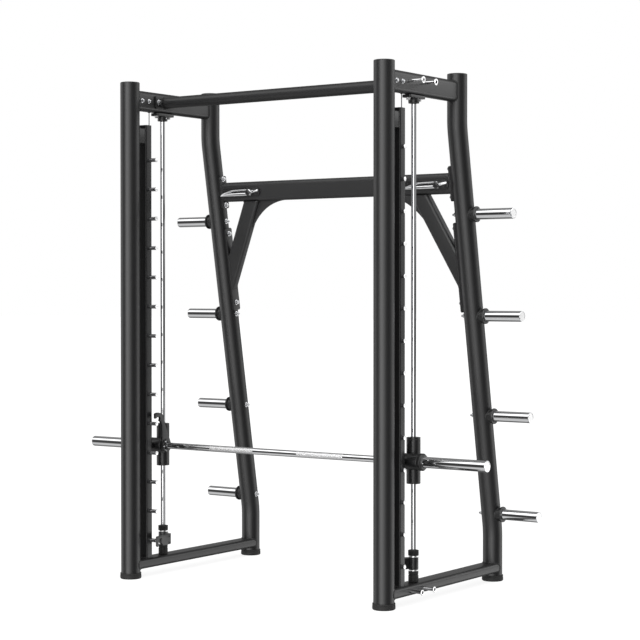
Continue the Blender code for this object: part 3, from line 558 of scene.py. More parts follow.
# ---------------------------------------------------------------- side beams with saddled ends and weld beads
def saddle_loft(mesh, x, outline, z, y_front, y_rear, r=TUBE_R + 0.0002):
    """A tube along Y whose ends follow the round uprights."""
    def end(y, sign):
        return [(x + u, y + sign * math.sqrt(max(r * r - u * u, 0)), z + w) for u, w in outline]
    a, b = end(y_front, 1), end(y_rear, -1)
    rings = [a] + [[tuple(Vector(p).lerp(Vector(q), t)) for p, q in zip(a, b)] for t in (0.25, 0.5, 0.75)] + [b]
    mesh.loft(rings)
    return a, b


for name, s in SIDES:
    x = s * HW
    m = Mesh()
    a, b = saddle_loft(m, x, rounded(BEAM_T, BEAM_W, 0.020, 10), BEAM_Z, YF, YR_TOP)
    m.object("beam_top_" + name, PAINT_BEAM_LIGHTENED, "frame", "frame_paint", ["top_beam_" + name])
    w = Mesh()
    weld_bead(w, a)
    weld_bead(w, b)
    m = Mesh()
    a, b = saddle_loft(m, x, rounded(LOW_W, LOW_T, 0.015, 10), LOW_Z, YF, YR_FOOT)
    m.object("beam_bottom_" + name, PAINT, "frame", "frame_paint", ["bottom_beam_" + name])
    weld_bead(w, a)
    weld_bead(w, b)
    w.object("beam_welds_" + name, PAINT, "frame", "frame_paint")

# ---------------------------------------------------------------- peg columns
for name, s in SIDES:
    x = s * HW
    z0 = LOW_Z + LOW_T / 2 + 0.0004
    m = Mesh()
    ring = [(x + u, COL_Y + 0.0018 + v) for u, v in rounded(0.060, 0.0416, 0.006, 6)]
    lid = [(x + u, COL_Y + 0.0018 + v) for u, v in rounded(0.0588, 0.0404, 0.0054, 6)]
    m.loft([[(u, v, z0) for u, v in ring], [(u, v, 1.0) for u, v in ring], [(u, v, COL_TOP - 0.0006) for u, v in ring], [(u, v, COL_TOP) for u, v in lid]])
    column = m.object("column_" + name, PAINT_COLUMN_SHADED, "frame", "frame_paint", ["peg_column_" + name])
    # bracket back to the upright
    outline = rounded(0.050, 0.071, 0.004, 4)
    zc = 2.0685
    r = TUBE_R + 0.0002
    near = [(x + u, YF + math.sqrt(max(r * r - u * u, 0)), zc + w) for u, w in outline]
    far = [(x + u, COL_Y - 0.0192, zc + w) for u, w in outline]
    m = Mesh().loft([near, far])
    m.object("column_bracket_" + name, PAINT_COLUMN_SHADED, "frame", "frame_paint")
    w = Mesh()
    weld_bead(w, near, 0.0026)
    weld_bead(w, far, 0.0024)
    weld_bead(w, [(u, v, z0 + 0.0006) for u, v in ring], 0.0028)
    w.object("column_welds_" + name, PAINT, "frame", "frame_paint")
    # chromed pegs through both walls, each with a small shoulder and a domed end
    pegs = Mesh()
    xi, xo = -0.0775, 0.0426
    for z in PEG_Z:
        prof = [(0, xo)] + soften([(0, xo), (0.0100, xo), (0.0100, xo - 0.0030), (0.0088, xo - 0.0036), (0.0088, xi + 0.0040), (0.0100, xi + 0.0034), (0.0100, xi), (0, xi)], 0.0009, 3)[1:-1] + [(0, xi)]
        pegs.lathe(prof, 32, 0, facing((x, COL_Y, z), (s, 0, 0)), mats=[1 if abs(a[1] - b[1]) < 1e-6 and a[0] + b[0] > 0.001 and min(a[0], b[0]) < 1e-6 else 0 for a, b in zip(prof, prof[1:])])
    pegs.object("pegs_" + name, [PEG_CHROME_DARKENED, BRIGHT], "frame", "chrome")
    collars = Mesh()
    for z in PEG_Z:
        for d in (-0.0302, 0.0302):
            collars.lathe(ring_profile(0.0112, 0.0086, -0.0008, 0.0008, 0.0004), 32, 0, facing((x + d, COL_Y, z), (1, 0, 0)))
    collars.object("peg_welds_" + name, PAINT, "frame", "frame_paint")

# ---------------------------------------------------------------- guide rods, clamps, bases
for name, s in SIDES:
    x = s * HW
    Mesh().lathe(rod(ROD_R, ROD_Z1 - ROD_Z0, 0.001, ROD_Z0), 64, 0, Matrix.Translation((x, ROD_Y, 0))).object("rod_" + name, ROD_METAL, "frame", "chrome", ["guide_rod_" + name])
    lo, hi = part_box("rod_clamp_" + name)
    m = Mesh().plate(rounded(0.044, 0.124, 0.007, 6), 0.0125, at=Matrix.Translation((x, ROD_Y, hi.z - 0.00625)))
    socket = soften([(0.0235, hi.z - 0.012), (0.0235, lo.z), (ROD_R + 0.0003, lo.z), (ROD_R + 0.0003, hi.z - 0.012)], 0.0014, 4, True)
    m.lathe(socket, 64, 0, Matrix.Translation((x, ROD_Y, 0)))
    m.object("clamp_" + name, PAINT2, "frame", "clamp_paint", ["rod_clamp_" + name])
    b = Mesh()
    for d in (-0.045, 0.045):
        bolt(b, (x, ROD_Y + d, hi.z - 0.0125), (0, 0, -1), 0.0155, 0.0085, 0.0115, 2, 2, spin=0.3)
    # clamp screw through the split of the socket
    # painted shade: its recess is black steel inside a bolt-steel head
    socket_bolt(b, (x - s * 0.0233, ROD_Y, lo.z + 0.012), (-s, 0, 0), 0.0048, 0.004, 0, 1)
    b.object("clamp_bolts_" + name, [BOLT, BLACK_STEEL, BRIGHT], "frame", "chrome")
    # small nylon guide where the cable leaves the beam
    g = Mesh().lathe(ring_profile(0.0062, 0.0032, -0.0022, 0.004, 0.0008), 32, 0, Matrix.Translation((x, PULLEY_BY + 0.0235, BEAM_Z - BEAM_W / 2)))
    g.object("cable_guide_" + name, PLASTIC, "frame", "cap_plastic")

    lo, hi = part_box("rod_base_" + name)
    prof = soften([(0.0180, hi.z), (0.0180, 0.1330), (0.0218, 0.1325), (0.0218, 0.1190), (0.0208, 0.1180), (0.0208, 0.1150), (0.0222, 0.1140), (0.0222, lo.z + 0.004), (0.0210, lo.z),
                   (ROD_R + 0.0003, lo.z), (ROD_R + 0.0003, hi.z)], 0.0009, 3, True)
    base = Mesh().lathe(prof, 72, 0, Matrix.Translation((x, ROD_Y, 0)))
    base.object("rod_foot_" + name, RUBBER, "frame", "base_rubber", ["rod_base_" + name])
    Mesh().lathe(ring_profile(0.0206, 0.0182, 0.1334, 0.1388, 0.0008), 64, 0, Matrix.Translation((x, ROD_Y, 0))).object("rod_foot_ring_" + name, BRIGHT, "frame", "chrome")

# ---------------------------------------------------------------- pull-up bar
pb = centre("pull_up_bar")
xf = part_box("pull_up_bar")[1].x
m = Mesh()
prof_r = 0.0273
m.lathe([(0, xf - 0.004), (prof_r, xf - 0.004), (prof_r, 0.3), (prof_r, 0), (prof_r, -0.3), (prof_r, -xf + 0.004), (0, -xf + 0.004)], 80, 0, facing((0, pb.y, pb.z), (1, 0, 0)))
bar = m.object("grip_bar", PAINT, "frame", "frame_paint", ["pull_up_bar"])
for name, s in SIDES:
    m = Mesh().plate(rounded(0.130, 0.060, 0.009, 6), 0.008, at=facing((s * (xf - 0.004), pb.y, pb.z), (s, 0, 0), (0, 1, 0)))
    m.object("grip_bar_flange_" + name, PAINT, "frame", "frame_paint")
    w = Mesh()
    weld_bead(w, [(s * (xf - 0.0084), pb.y + 0.0276 * math.cos(t * math.pi / 24), pb.z + 0.0276 * math.sin(t * math.pi / 24)) for t in range(48)], 0.0026)
    w.object("grip_bar_weld_" + name, PAINT, "frame", "frame_paint")
    b = Mesh()
    for d in (-0.046, 0.046):
        bolt(b, (s * (xf - 0.008), pb.y + d, pb.z), (-s, 0, 0), 0.017, 0.009, 0.0125, 0, 0, 0.0, 0.2)
    # axle bolts of the pulleys, and the flange bolts' nuts on the outer face
    for y in (PULLEY_FY + 0.002, PULLEY_BY - 0.004):
        bolt(b, (s * (HW - BEAM_T / 2), y, BEAM_Z), (-s, 0, 0), 0.013, 0.007, 0.0105, 0, 0, 0.003, 0.4)
        bolt(b, (s * (HW + BEAM_T / 2), y, BEAM_Z), (s, 0, 0), 0.013, 0.007, 0.0105, 0, 0, 0.0, 0.1)
    b.object("beam_bolts_" + name, BOLT, "frame", "chrome")

# ---------------------------------------------------------------- rear truss
T = Matrix.Translation(TRUSS) @ Matrix.Rotation(TILT, 4, "X")
PX = HW - TUBE_R - 0.0003
m = Mesh()
outline = rounded(BEAM_T, BEAM_W, 0.020, 10)
tube_x = PX - 0.0082
m.loft([[tuple(T @ Vector((xx, u, w))) for u, w in outline] for xx in (-tube_x, -0.3, 0, 0.3, tube_x)])
m.object("crossbar", PAINT_TRUSS_LIGHTENED, "frame", "frame_paint", ["rear_crossbar"])
w = Mesh()
for s in (-1, 1):
    weld_bead(w, [T @ Vector((s * tube_x, u, v)) for u, v in outline], 0.0030)
w.object("crossbar_welds", PAINT, "frame", "frame_paint")

FP_LO, FP_HI = -0.590, -0.178
BR_W, BR_D, BR_A = 0.080, 0.044, RAD(26)
BTX, BTZ = 0.4860, -0.052 / math.cos(TILT)
for name, s in SIDES:
    m = Mesh().plate(rounded(0.050, 0.160, 0.009, 6), 0.008, at=T @ facing((s * (PX - 0.004), 0, 0), (s, 0, 0), (0, 1, 0)))
    mid = (FP_LO + FP_HI) / 2
    m.plate(rounded(0.050, FP_HI - FP_LO, 0.009, 6), 0.008, at=T @ facing((s * (PX - 0.004), 0, mid), (s, 0, 0), (0, 1, 0)))
    m.object("truss_plates_" + name, PAINT, "frame", "frame_paint")
    # pads that fill the space between a flat plate and the round upright
    pads = Mesh()
    for zc, zh in ((0, 0.150), (mid, FP_HI - FP_LO - 0.010)):
        rows = []
        for z in (zc - zh / 2, zc + zh / 2):
            row = [(s * (PX + 0.0002), -0.022, z), (s * (PX + 0.0002), 0.022, z)]
            for k in range(13):
                v = 0.022 - 0.044 * k / 12
                row.append((s * (HW - math.sqrt(TUBE_R ** 2 - v * v) + 0.0008), v, z))
            rows.append([tuple(T @ Vector(p)) for p in row])
        pads.loft(rows)
    pads.object("truss_pads_" + name, PAINT, "frame", "frame_paint")
    b = Mesh()
    for z in (0.0665, -0.0625, -0.205, -0.550):
        bolt(b, T @ Vector((s * (PX - 0.008), -0.002, z)), T.to_3x3() @ Vector((-s, 0, 0)), 0.017, 0.0095, 0.0125, 0, 0, 0.004, 0.3)
    b.object("truss_bolts_" + name, BOLT, "frame", "chrome")

    # brace: tube from the crossbar's underside to the foot plate
    d = Vector((s * math.sin(BR_A), 0, -math.cos(BR_A)))
    side = Vector((math.cos(BR_A), 0, s * math.sin(BR_A)))
    base = Vector((s * BTX, 0, BTZ))
    top_z, end_x = -BEAM_W / 2 - 0.0004, tube_x
    out = rounded(BR_W, BR_D, 0.012, 8)
    top_ring, low_ring = [], []
    for u, v in out:
        p = base + side * u + Vector((0, v, 0))
        top_ring.append(p + d * ((top_z - p.z) / d.z))
        low_ring.append(p + d * ((s * end_x - p.x) / d.x))
    m = Mesh()
    m.loft([[tuple(T @ p) for p in top_ring], [tuple(T @ p.lerp(q, 0.5)) for p, q in zip(top_ring, low_ring)], [tuple(T @ q) for q in low_ring]])
    m.object("brace_tube_" + name, PAINT_TRUSS_LIGHTENED, "frame", "frame_paint", ["brace_" + name])
    w = Mesh()
    weld_bead(w, [T @ p for p in top_ring], 0.0028)
    weld_bead(w, [T @ p for p in low_ring], 0.0028)
    w.object("brace_welds_" + name, PAINT, "frame", "frame_paint")

    # curved gusset
    zt = top_z
    inner = lambda z: BTX + (BTZ - z) * math.tan(BR_A) - BR_W / 2 / math.cos(BR_A)
    xa, zb = 0.290, -0.190
    p0, p1, p2 = Vector((xa, zt)), Vector((inner(zt) - 0.012, zt - 0.012)), Vector((inner(zb), zb))
    curve = [p0 * (1 - t) ** 2 + p1 * 2 * t * (1 - t) + p2 * t * t for t in [k / 24 for k in range(25)]]
    outline = [(s * p.x, p.y) for p in curve] + [(s * (inner(zb) + 0.008), zb), (s * (inner(zt) + 0.008), zt)]
    g = Mesh().plate(outline, 0.009, at=T @ Matrix.Rotation(math.pi / 2, 4, "X"), edge=0.0012)
    g.object("gusset_" + name, PAINT_TRUSS_LIGHTENED, "frame", "frame_paint")

# ---------------------------------------------------------------- chromed hangers on the crossbar
def tapered(mesh, pts, radii, mat=0, seg=20, squash=1.0):
    """A round bar along a path, of changing thickness, with domed ends."""
    pts = [Vector(p) for p in pts]
    path, rad = [], []
    n = 6
    for j in range(len(pts) - 1):
        p0, p1, p2, p3 = pts[max(j - 1, 0)], pts[j], pts[j + 1], pts[min(j + 2, len(pts) - 1)]
        for k in range(n):
            q = k / n
            path.append(0.5 * (2 * p1 + (p2 - p0) * q + (2 * p0 - 5 * p1 + 4 * p2 - p3) * q * q + (3 * p1 - p0 - 3 * p2 + p3) * q ** 3))
            rad.append(radii[j] + (radii[j + 1] - radii[j]) * q)
    path.append(pts[-1])
    rad.append(radii[-1])
    rings, nrm = [], Vector((0, 1, 0))
    for j, p in enumerate(path):
        d = (path[min(j + 1, len(path) - 1)] - path[max(j - 1, 0)]).normalized()
        nrm = (nrm - d * d.dot(nrm)).normalized()
        side = d.cross(nrm)
        domes = [(0.0, 1.0)]
        if j == 0:
            domes = [(-math.sin(RAD(e)), math.cos(RAD(e))) for e in (84, 60, 35, 15, 0)]
        elif j == len(path) - 1:
            domes = [(math.sin(RAD(e)), math.cos(RAD(e))) for e in (0, 15, 35, 60, 84)]
        for ahead, scale in domes:
            rings.append([tuple(p + d * (rad[j] * ahead) + nrm * (rad[j] * scale * math.cos(2 * math.pi * k / seg)) + side * (rad[j] * scale * squash * math.sin(2 * math.pi * k / seg))) for k in range(seg)])
    return rings


for name, s in SIDES:
    H = T @ Matrix.Translation((s * 0.5330 + 0.002, -BEAM_T / 2 - 0.0004, 0)) @ Matrix.Rotation(math.pi / 2, 4, "X")   # local x = +X, y = up the truss, z = front
    m = Mesh().plate(rounded(0.2300, 0.0460, 0.0228, 14), 0.006, 0, H @ Matrix.Translation((0, 0, 0.003)), 0.0016)
    m.object("hanger_plate_" + name, PAINT2, "frame", "clamp_paint")
    # a closed loop of round rod: thick below, thin above, drawn together to a point at one end
    loop = Mesh()
    for pts, radii in (([(-0.1130, -0.0125, 0.0180), (-0.0950, -0.0108, 0.0210), (-0.0500, -0.0085, 0.0240), (0.0100, -0.0075, 0.0250), (0.0700, -0.0070, 0.0250)], [0.0034, 0.0060, 0.0084, 0.0088, 0.0086]),
                       ([(-0.1040, -0.0065, 0.0190), (-0.0790, -0.0005, 0.0215), (-0.0500, 0.0070, 0.0240), (-0.0220, 0.0115, 0.0250), (0.0700, 0.0135, 0.0250)], [0.0032, 0.0054, 0.0052, 0.0038, 0.0036]),
                       ([(0.0720, 0.0010, 0.0240), (0.0920, 0.0050, 0.0230), (0.1130, 0.0085, 0.0200)], [0.0078, 0.0070, 0.0058])):
        loop.loft(tapered(loop, pts, radii), at=H)
    # hub with a turned shoulder, on a foot that stands on the plate, and a smaller foot under the point
    hub = soften([(0.0145, 0.0370), (0.0165, 0.0330), (0.0165, 0.0180), (0.0120, 0.0150), (0.0120, 0.0058)], 0.0016, 4)
    loop.lathe([(0, 0.0370)] + hub + [(0, 0.0058)], 56, 0, H @ Matrix.Translation((0.0660, 0.0020, 0)))
    loop.lathe(rod(0.0052, 0.0150, 0.0012, 0.0058), 32, 0, H @ Matrix.Translation((-0.0860, -0.0070, 0)))
    loop.object("hanger_loop_" + name, CHROME, "frame", "chrome", ["cleat_" + name])
    b = Mesh()
    socket_bolt(b, H @ Vector((0.0660, 0.0020, 0.0370)), H.to_3x3() @ Vector((0, 0, 1)), 0.0105, 0.0040, 0, 1)
    socket_bolt(b, H @ Vector((0.1000, -0.0090, 0.0060)), H.to_3x3() @ Vector((0, 0, 1)), 0.0060, 0.0030, 0, 1)
    socket_bolt(b, H @ Vector((-0.1000, 0.0080, 0.0060)), H.to_3x3() @ Vector((0, 0, 1)), 0.0060, 0.0030, 0, 1)
    b.object("hanger_bolts_" + name, [BLACK_STEEL, BLACK_STEEL], "frame", "clamp_paint")

# ---------------------------------------------------------------- plate storage horns
for name, s in SIDES:
    for k, z in enumerate(HORN_Z, 1):
        y = upright_y(z)
        at = facing((0, y, z), (s, 0, 0))
        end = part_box(f"plate_horn_{name}_{k}")
        tip = end[1].x if s > 0 else -end[0].x
        prof = [(0, tip - 0.0012), (0.0205, tip - 0.0012), (0.0215, tip - 0.0004)] + soften([(0.0215, tip), (0.0244, tip), (0.0244, tip - 0.006), (0.0244, 0.766)], 0.0012, 3) + [(0.0244, 0.763), (0, 0.763)]
        horn = Mesh().lathe(prof, 72, 0, at, mats=[1, 1] + [0] * (len(prof) - 3))
        horn.object(f"horn_{name}_{k}", [CHROME, BRIGHT], "frame", "chrome", [f"plate_horn_{name}_{k}"])
        # boss saddled to the leaning tube, and the flange the plates lie against
        n = 64
        r = 0.0300
        up = Vector((0, -math.sin(TILT), math.cos(TILT)))
        across = Vector((0, math.cos(TILT), math.sin(TILT)))
        root, rim = [], []
        for j in range(n):
            a = 2 * math.pi * j / n
            u, v = r * math.cos(a), r * math.sin(a)
            off = across * u + up * v
            root.append(tuple(Vector((s * (HW + math.sqrt(TUBE_R ** 2 - u * u) - 0.0006), y, z)) + off))
            rim.append(tuple(Vector((s * 0.7645, y, z)) + off))
        b = Mesh().loft([root, rim])
        flange = [(0, 0.7695)] + soften([(0, 0.7695), (0.0262, 0.7695), (0.0270, 0.7710), (0.0360, 0.7710), (0.0360, 0.7635), (0.0310, 0.7620)], 0.0010, 3)[1:] + [(0, 0.7620)]
        b.lathe(flange, 72, 0, at)
        b.object(f"horn_boss_{name}_{k}", PAINT, "frame", "frame_paint")
        w = Mesh()
        weld_bead(w, root, 0.0026)
        w.object(f"horn_weld_{name}_{k}", PAINT, "frame", "frame_paint")
        nut = Mesh()
        bolt(nut, (s * (HW - TUBE_R + 0.0004), y, z), (-s, 0, 0), 0.017, 0.0085, 0.0125, 0, 0, 0.009, 0.2)
        nut.object(f"horn_bolt_{name}_{k}", BOLT, "frame", "chrome")

# ---------------------------------------------------------------- band pegs
for name, s in SIDES:
    for level, face, ys, z, hr in (("top", HW + BEAM_T / 2, (YF + 0.161, YF + 0.263), 2.239, 0.0145), ("bottom", HW + LOW_W / 2, (YF + 0.141, YF + 0.239), 0.061, 0.0125)):
        node = f"band_pegs_{level}_{name}"
        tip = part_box(node)[1].x if s > 0 else -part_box(node)[0].x
        m = Mesh()
        for y in ys:
            prof = [(0, tip - 0.0045), (0.0062, tip - 0.0045), (0.0072, tip - 0.0010), (0.0080, tip - 0.0001), (hr - 0.0024, tip), (hr - 0.0008, tip - 0.0008), (hr, tip - 0.0024), (hr - 0.0002, tip - 0.0044),
                    (hr - 0.0014, tip - 0.0058), (0.0092, tip - 0.0074), (0.0078, tip - 0.0100), (0.0074, tip - 0.0135), (0.0074, face + 0.0002), (0, face + 0.0002)]
            # painted shade: the recessed dish in each pin's end is black steel
            m.lathe(prof, 48, 0, facing((0, y, z), (s, 0, 0)), mats=[1, 1] + [0] * 6 + [2] * 5)
        m.object("band_pins_" + level + "_" + name, [PIN_METAL, BLACK_STEEL, PIN_METAL if level == "top" else ROD_METAL], "frame", "chrome", [node])

# ---------------------------------------------------------------- carriages
HX0, HX1 = 0.660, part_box("carriage_right")[1].x
LUG_TOP = 0.625
for name, s in SIDES:
    x = s * HW
    prof = soften([(0.0302, CAR_Z1), (0.0305, CAR_Z1 - 0.0006), (0.0305, CAR_Z1 - 0.0060), (0.0300, CAR_Z1 - 0.0066), (0.0300, CAR_Z1 - 0.0078), (0.0305, CAR_Z1 - 0.0084),
                   (0.0305, CAR_Z0 + 0.0084), (0.0300, CAR_Z0 + 0.0078), (0.0300, CAR_Z0 + 0.0066), (0.0305, CAR_Z0 + 0.0060), (0.0302, CAR_Z0), (0.0205, CAR_Z0), (0.0205, CAR_Z1)], 0.0005, 2, True)
    body = Mesh().lathe(prof, 96, 0, Matrix.Translation((x, ROD_Y, 0))).object("carriage_sleeve_" + name, PAINT2, "carriage", "carriage_paint", ["carriage_" + name])
    house = Mesh().lathe(rod(0.0345, HX1 - HX0, 0.0030, HX0), 96, 0, facing((0, BAR.y, BAR.z), (s, 0, 0)))
    combine(body, house, "UNION")
    hole = Mesh().lathe([(0, 0.3), (0.0205, 0.3), (0.0205, -0.3), (0, -0.3)], 64, 0, Matrix.Translation((x, ROD_Y, BAR.z)))
    combine(body, hole)
    hole = Mesh().lathe([(0, 0.9), (0.0156, 0.9), (0.0156, 0.5), (0, 0.5)], 64, 0, facing((0, BAR.y, BAR.z), (s, 0, 0)))
    combine(body, hole)
    # linear bearings with their seals
    brg = Mesh()
    for za, zb in ((CAR_Z1 - 0.060, CAR_Z1 - 0.0012), (CAR_Z0 + 0.0012, CAR_Z0 + 0.060)):
        brg.lathe(ring_profile(0.0203, ROD_R + 0.0006, za, zb, 0.0012), 64, 0, Matrix.Translation((x, ROD_Y, 0)))
    brg.object("carriage_bearings_" + name, [BLACK_STEEL], "carriage", "carriage_paint")
    # lug on the housing's front, with the wire's swaged end standing in it
    cy = PULLEY_BY + 0.0235
    lug = Mesh()
    outline = soften([(YF + 0.1262, LUG_TOP - 0.0285), (YF + 0.1600, LUG_TOP - 0.0285), (YF + 0.1600, LUG_TOP), (YF + 0.1262, LUG_TOP)], 0.0045, 5, True)
    lug.plate(outline, 0.0118, 0, Matrix.Translation((x, 0, 0)) @ Matrix(((0, 0, 1), (1, 0, 0), (0, 1, 0))).to_4x4(), 0.0013)
    lug.object("cable_lug_" + name, PAINT2, "carriage", "carriage_paint")
    fer = Mesh().lathe(rod(0.0042, 0.0110, 0.0010, LUG_TOP - 0.001), 32, 0, Matrix.Translation((x, cy, 0)))
    socket_bolt(fer, (x - s * 0.0059, cy + 0.001, LUG_TOP - 0.012), (-s, 0, 0), 0.0040, 0.0026, 0, 0)
    fer.object("cable_ferrule_" + name, BLACK_STEEL, "carriage", "carriage_paint")
    grease = Mesh()
    grease.lathe([(0, 0.0105), (0.0022, 0.0098), (0.0028, 0.0080), (0.0020, 0.0066), (0.0034, 0.0056), (0.0034, -0.001), (0, -0.001)], 20, 0, facing((x, ROD_Y + 0.0303, CAR_Z0 + 0.040), (0, 1, 0)))
    grease.object("grease_nipple_" + name, ZINC, "carriage", "chrome")

# ---------------------------------------------------------------- bar
bar_at = facing((0, BAR.y, BAR.z), (1, 0, 0))
prof = [(0, 0.7900), (0.0150, 0.7900), (0.0150, 0.3745), (0.0147, 0.3742), (0.0147, 0.3734)]
mats = [0, 0, 0, 0]
prof += [(0.01505, 0.3730), (0.01505, 0.1240), (0.0147, 0.1236), (0.0147, 0.1228), (0.0150, 0.1225)]
mats += [0, 1, 0, 0, 0]
mirror = [(r, -z) for r, z in reversed(prof)]
mats += [0] + list(reversed(mats))
Mesh().lathe(prof + mirror, 72, 0, bar_at, mats=mats).object("bar_shaft", [CHROME, KNURL], "bar", "bar_chrome", ["barbell"])
for name, s in SIDES:
    at = facing((0, BAR.y, BAR.z), (s, 0, 0))
    tip = BAR_HALF
    prof = [(0, tip - 0.0008), (0.0178, tip - 0.0008), (0.0186, tip - 0.0016), (0.0196, tip - 0.0016), (0.0204, tip - 0.0002)] + soften([(0.0204, tip), (0.0243, tip), (0.0243, tip - 0.006), (0.0243, 0.7905)], 0.0014, 4) + [(0.0243, 0.786), (0.0152, 0.786)]
    prof = prof[:-1] + [(0, 0.786)]
    Mesh().lathe(prof, 96, 0, at, mats=[1, 1, 1, 1] + [0] * (len(prof) - 5)).object("loading_sleeve_" + name, [CHROME, BRIGHT], "bar", "bar_chrome")
    prof = soften([(0.0375, 0.7708), (0.0375, 0.7840), (0.0322, 0.7900), (0.0244, 0.7900), (0.0152, 0.7900), (0.0152, 0.7708)], 0.0008, 3, True)
    Mesh().lathe(prof, 96, 0, at).object("bar_collar_" + name, PAINT2, "bar", "carriage_paint")
    prof = soften([(0.0195, 0.6396), (0.0195, 0.6350), (0.0152, 0.6350), (0.0152, 0.6396)], 0.001, 3, True)
    Mesh().lathe(prof, 64, 0, at).object("bar_spacer_" + name, BLACK_STEEL, "bar", "hook_paint")

# ---------------------------------------------------------------- hooks
peg_dy, peg_dz = COL_Y - BAR.y, PEG_Z[9] - BAR.z
reach = math.hypot(peg_dy, peg_dz)
pa = math.atan2(-peg_dy, peg_dz)
PR = 0.009


def polar(r, a):
    return (-r * math.sin(a), r * math.cos(a))


m_in, m_out = reach - PR - 0.0012, reach + PR + 0.0012
pts = [polar(0.030, RAD(a)) for a in range(80, 292, 10)]
arm = [(-0.0270, 0.0225), (-0.0215, 0.0305), (-0.0132, 0.0393), (0.0033, 0.0568), (0.0198, 0.0743), (0.0343, 0.0918), (0.0488, 0.1093), (0.0560, 0.1215), (0.0630, 0.1310),
       (0.0703, 0.1360), (0.0850, 0.1372), (0.0988, 0.1360), (0.1100, 0.1320), (0.1175, 0.1270)]
pts += [(-f, u) for f, u in arm]
pts += [polar(0.1720, RAD(44.0)), polar(0.1650, RAD(45.1)), polar(0.1580, RAD(46.5)), polar(0.1530, RAD(47.3)), polar(m_out + 0.0006, RAD(46.8))]
pts = soften(pts, 0.008, 3, False)
pts += [polar(m_out, RAD(46.0)), polar(m_out, RAD(44.0)), polar(m_out, RAD(42.0)), polar(m_out, pa)]
for k in range(1, 12):
    a = math.pi * k / 12
    pts.append(polar(reach + (PR + 0.0012) * math.cos(a), pa - (PR + 0.0012) / reach * math.sin(a)))
pts += [polar(m_in, pa - 0.004)] + soften([(-f, u) for f, u in [(0.0790, 0.1015), (0.0705, 0.0992), (0.0640, 0.0930), (0.0538, 0.0763), (0.0465, 0.0560), (0.0418, 0.0423), (0.0370, 0.0250), (0.0338, 0.0120), (0.0300, 0.0040)]], 0.006, 4)[1:-1]
ROT = Matrix.Rotation(-RAD(17), 4, "X")
for name, s in SIDES:
    at = Matrix.Translation((s * 0.652, BAR.y, BAR.z)) @ ROT @ Matrix(((0, 0, 1), (1, 0, 0), (0, 1, 0))).to_4x4()
    hook = Mesh().plate(pts, 0.012, 0, at, 0.0012).object("hook_" + name, PAINT2, "bar", "hook_paint", ["bar_hook_" + name])
    hub = Mesh().lathe(soften([(0.0300, 0.6530), (0.0300, 0.6400), (0.0152, 0.6400), (0.0152, 0.6530)], 0.0016, 4, True), 80, 0, facing((0, BAR.y, BAR.z), (s, 0, 0)))
    hub.object("hook_hub_" + name, PAINT2, "bar", "hook_paint")
    cut = Mesh().lathe([(0, 0.70), (0.0152, 0.70), (0.0152, 0.60), (0, 0.60)], 64, 0, facing((0, BAR.y, BAR.z), (s, 0, 0)))
    combine(hook, cut)
    b = Mesh()
    for a, r in ((RAD(140), 0.0225), (RAD(205), 0.0225), (RAD(265), 0.0225), (RAD(20), 0.0225)):
        p = ROT @ Vector((0, r * math.cos(a), r * math.sin(a)))
        # painted shade: each screw's recess is black steel inside a bolt-steel head
        socket_bolt(b, (s * 0.6398, BAR.y + p.y, BAR.z + p.z), (-s, 0, 0), 0.0046, 0.0036, 0, 1)
    b.object("hook_screws_" + name, [BOLT, BLACK_STEEL], "bar", "chrome")

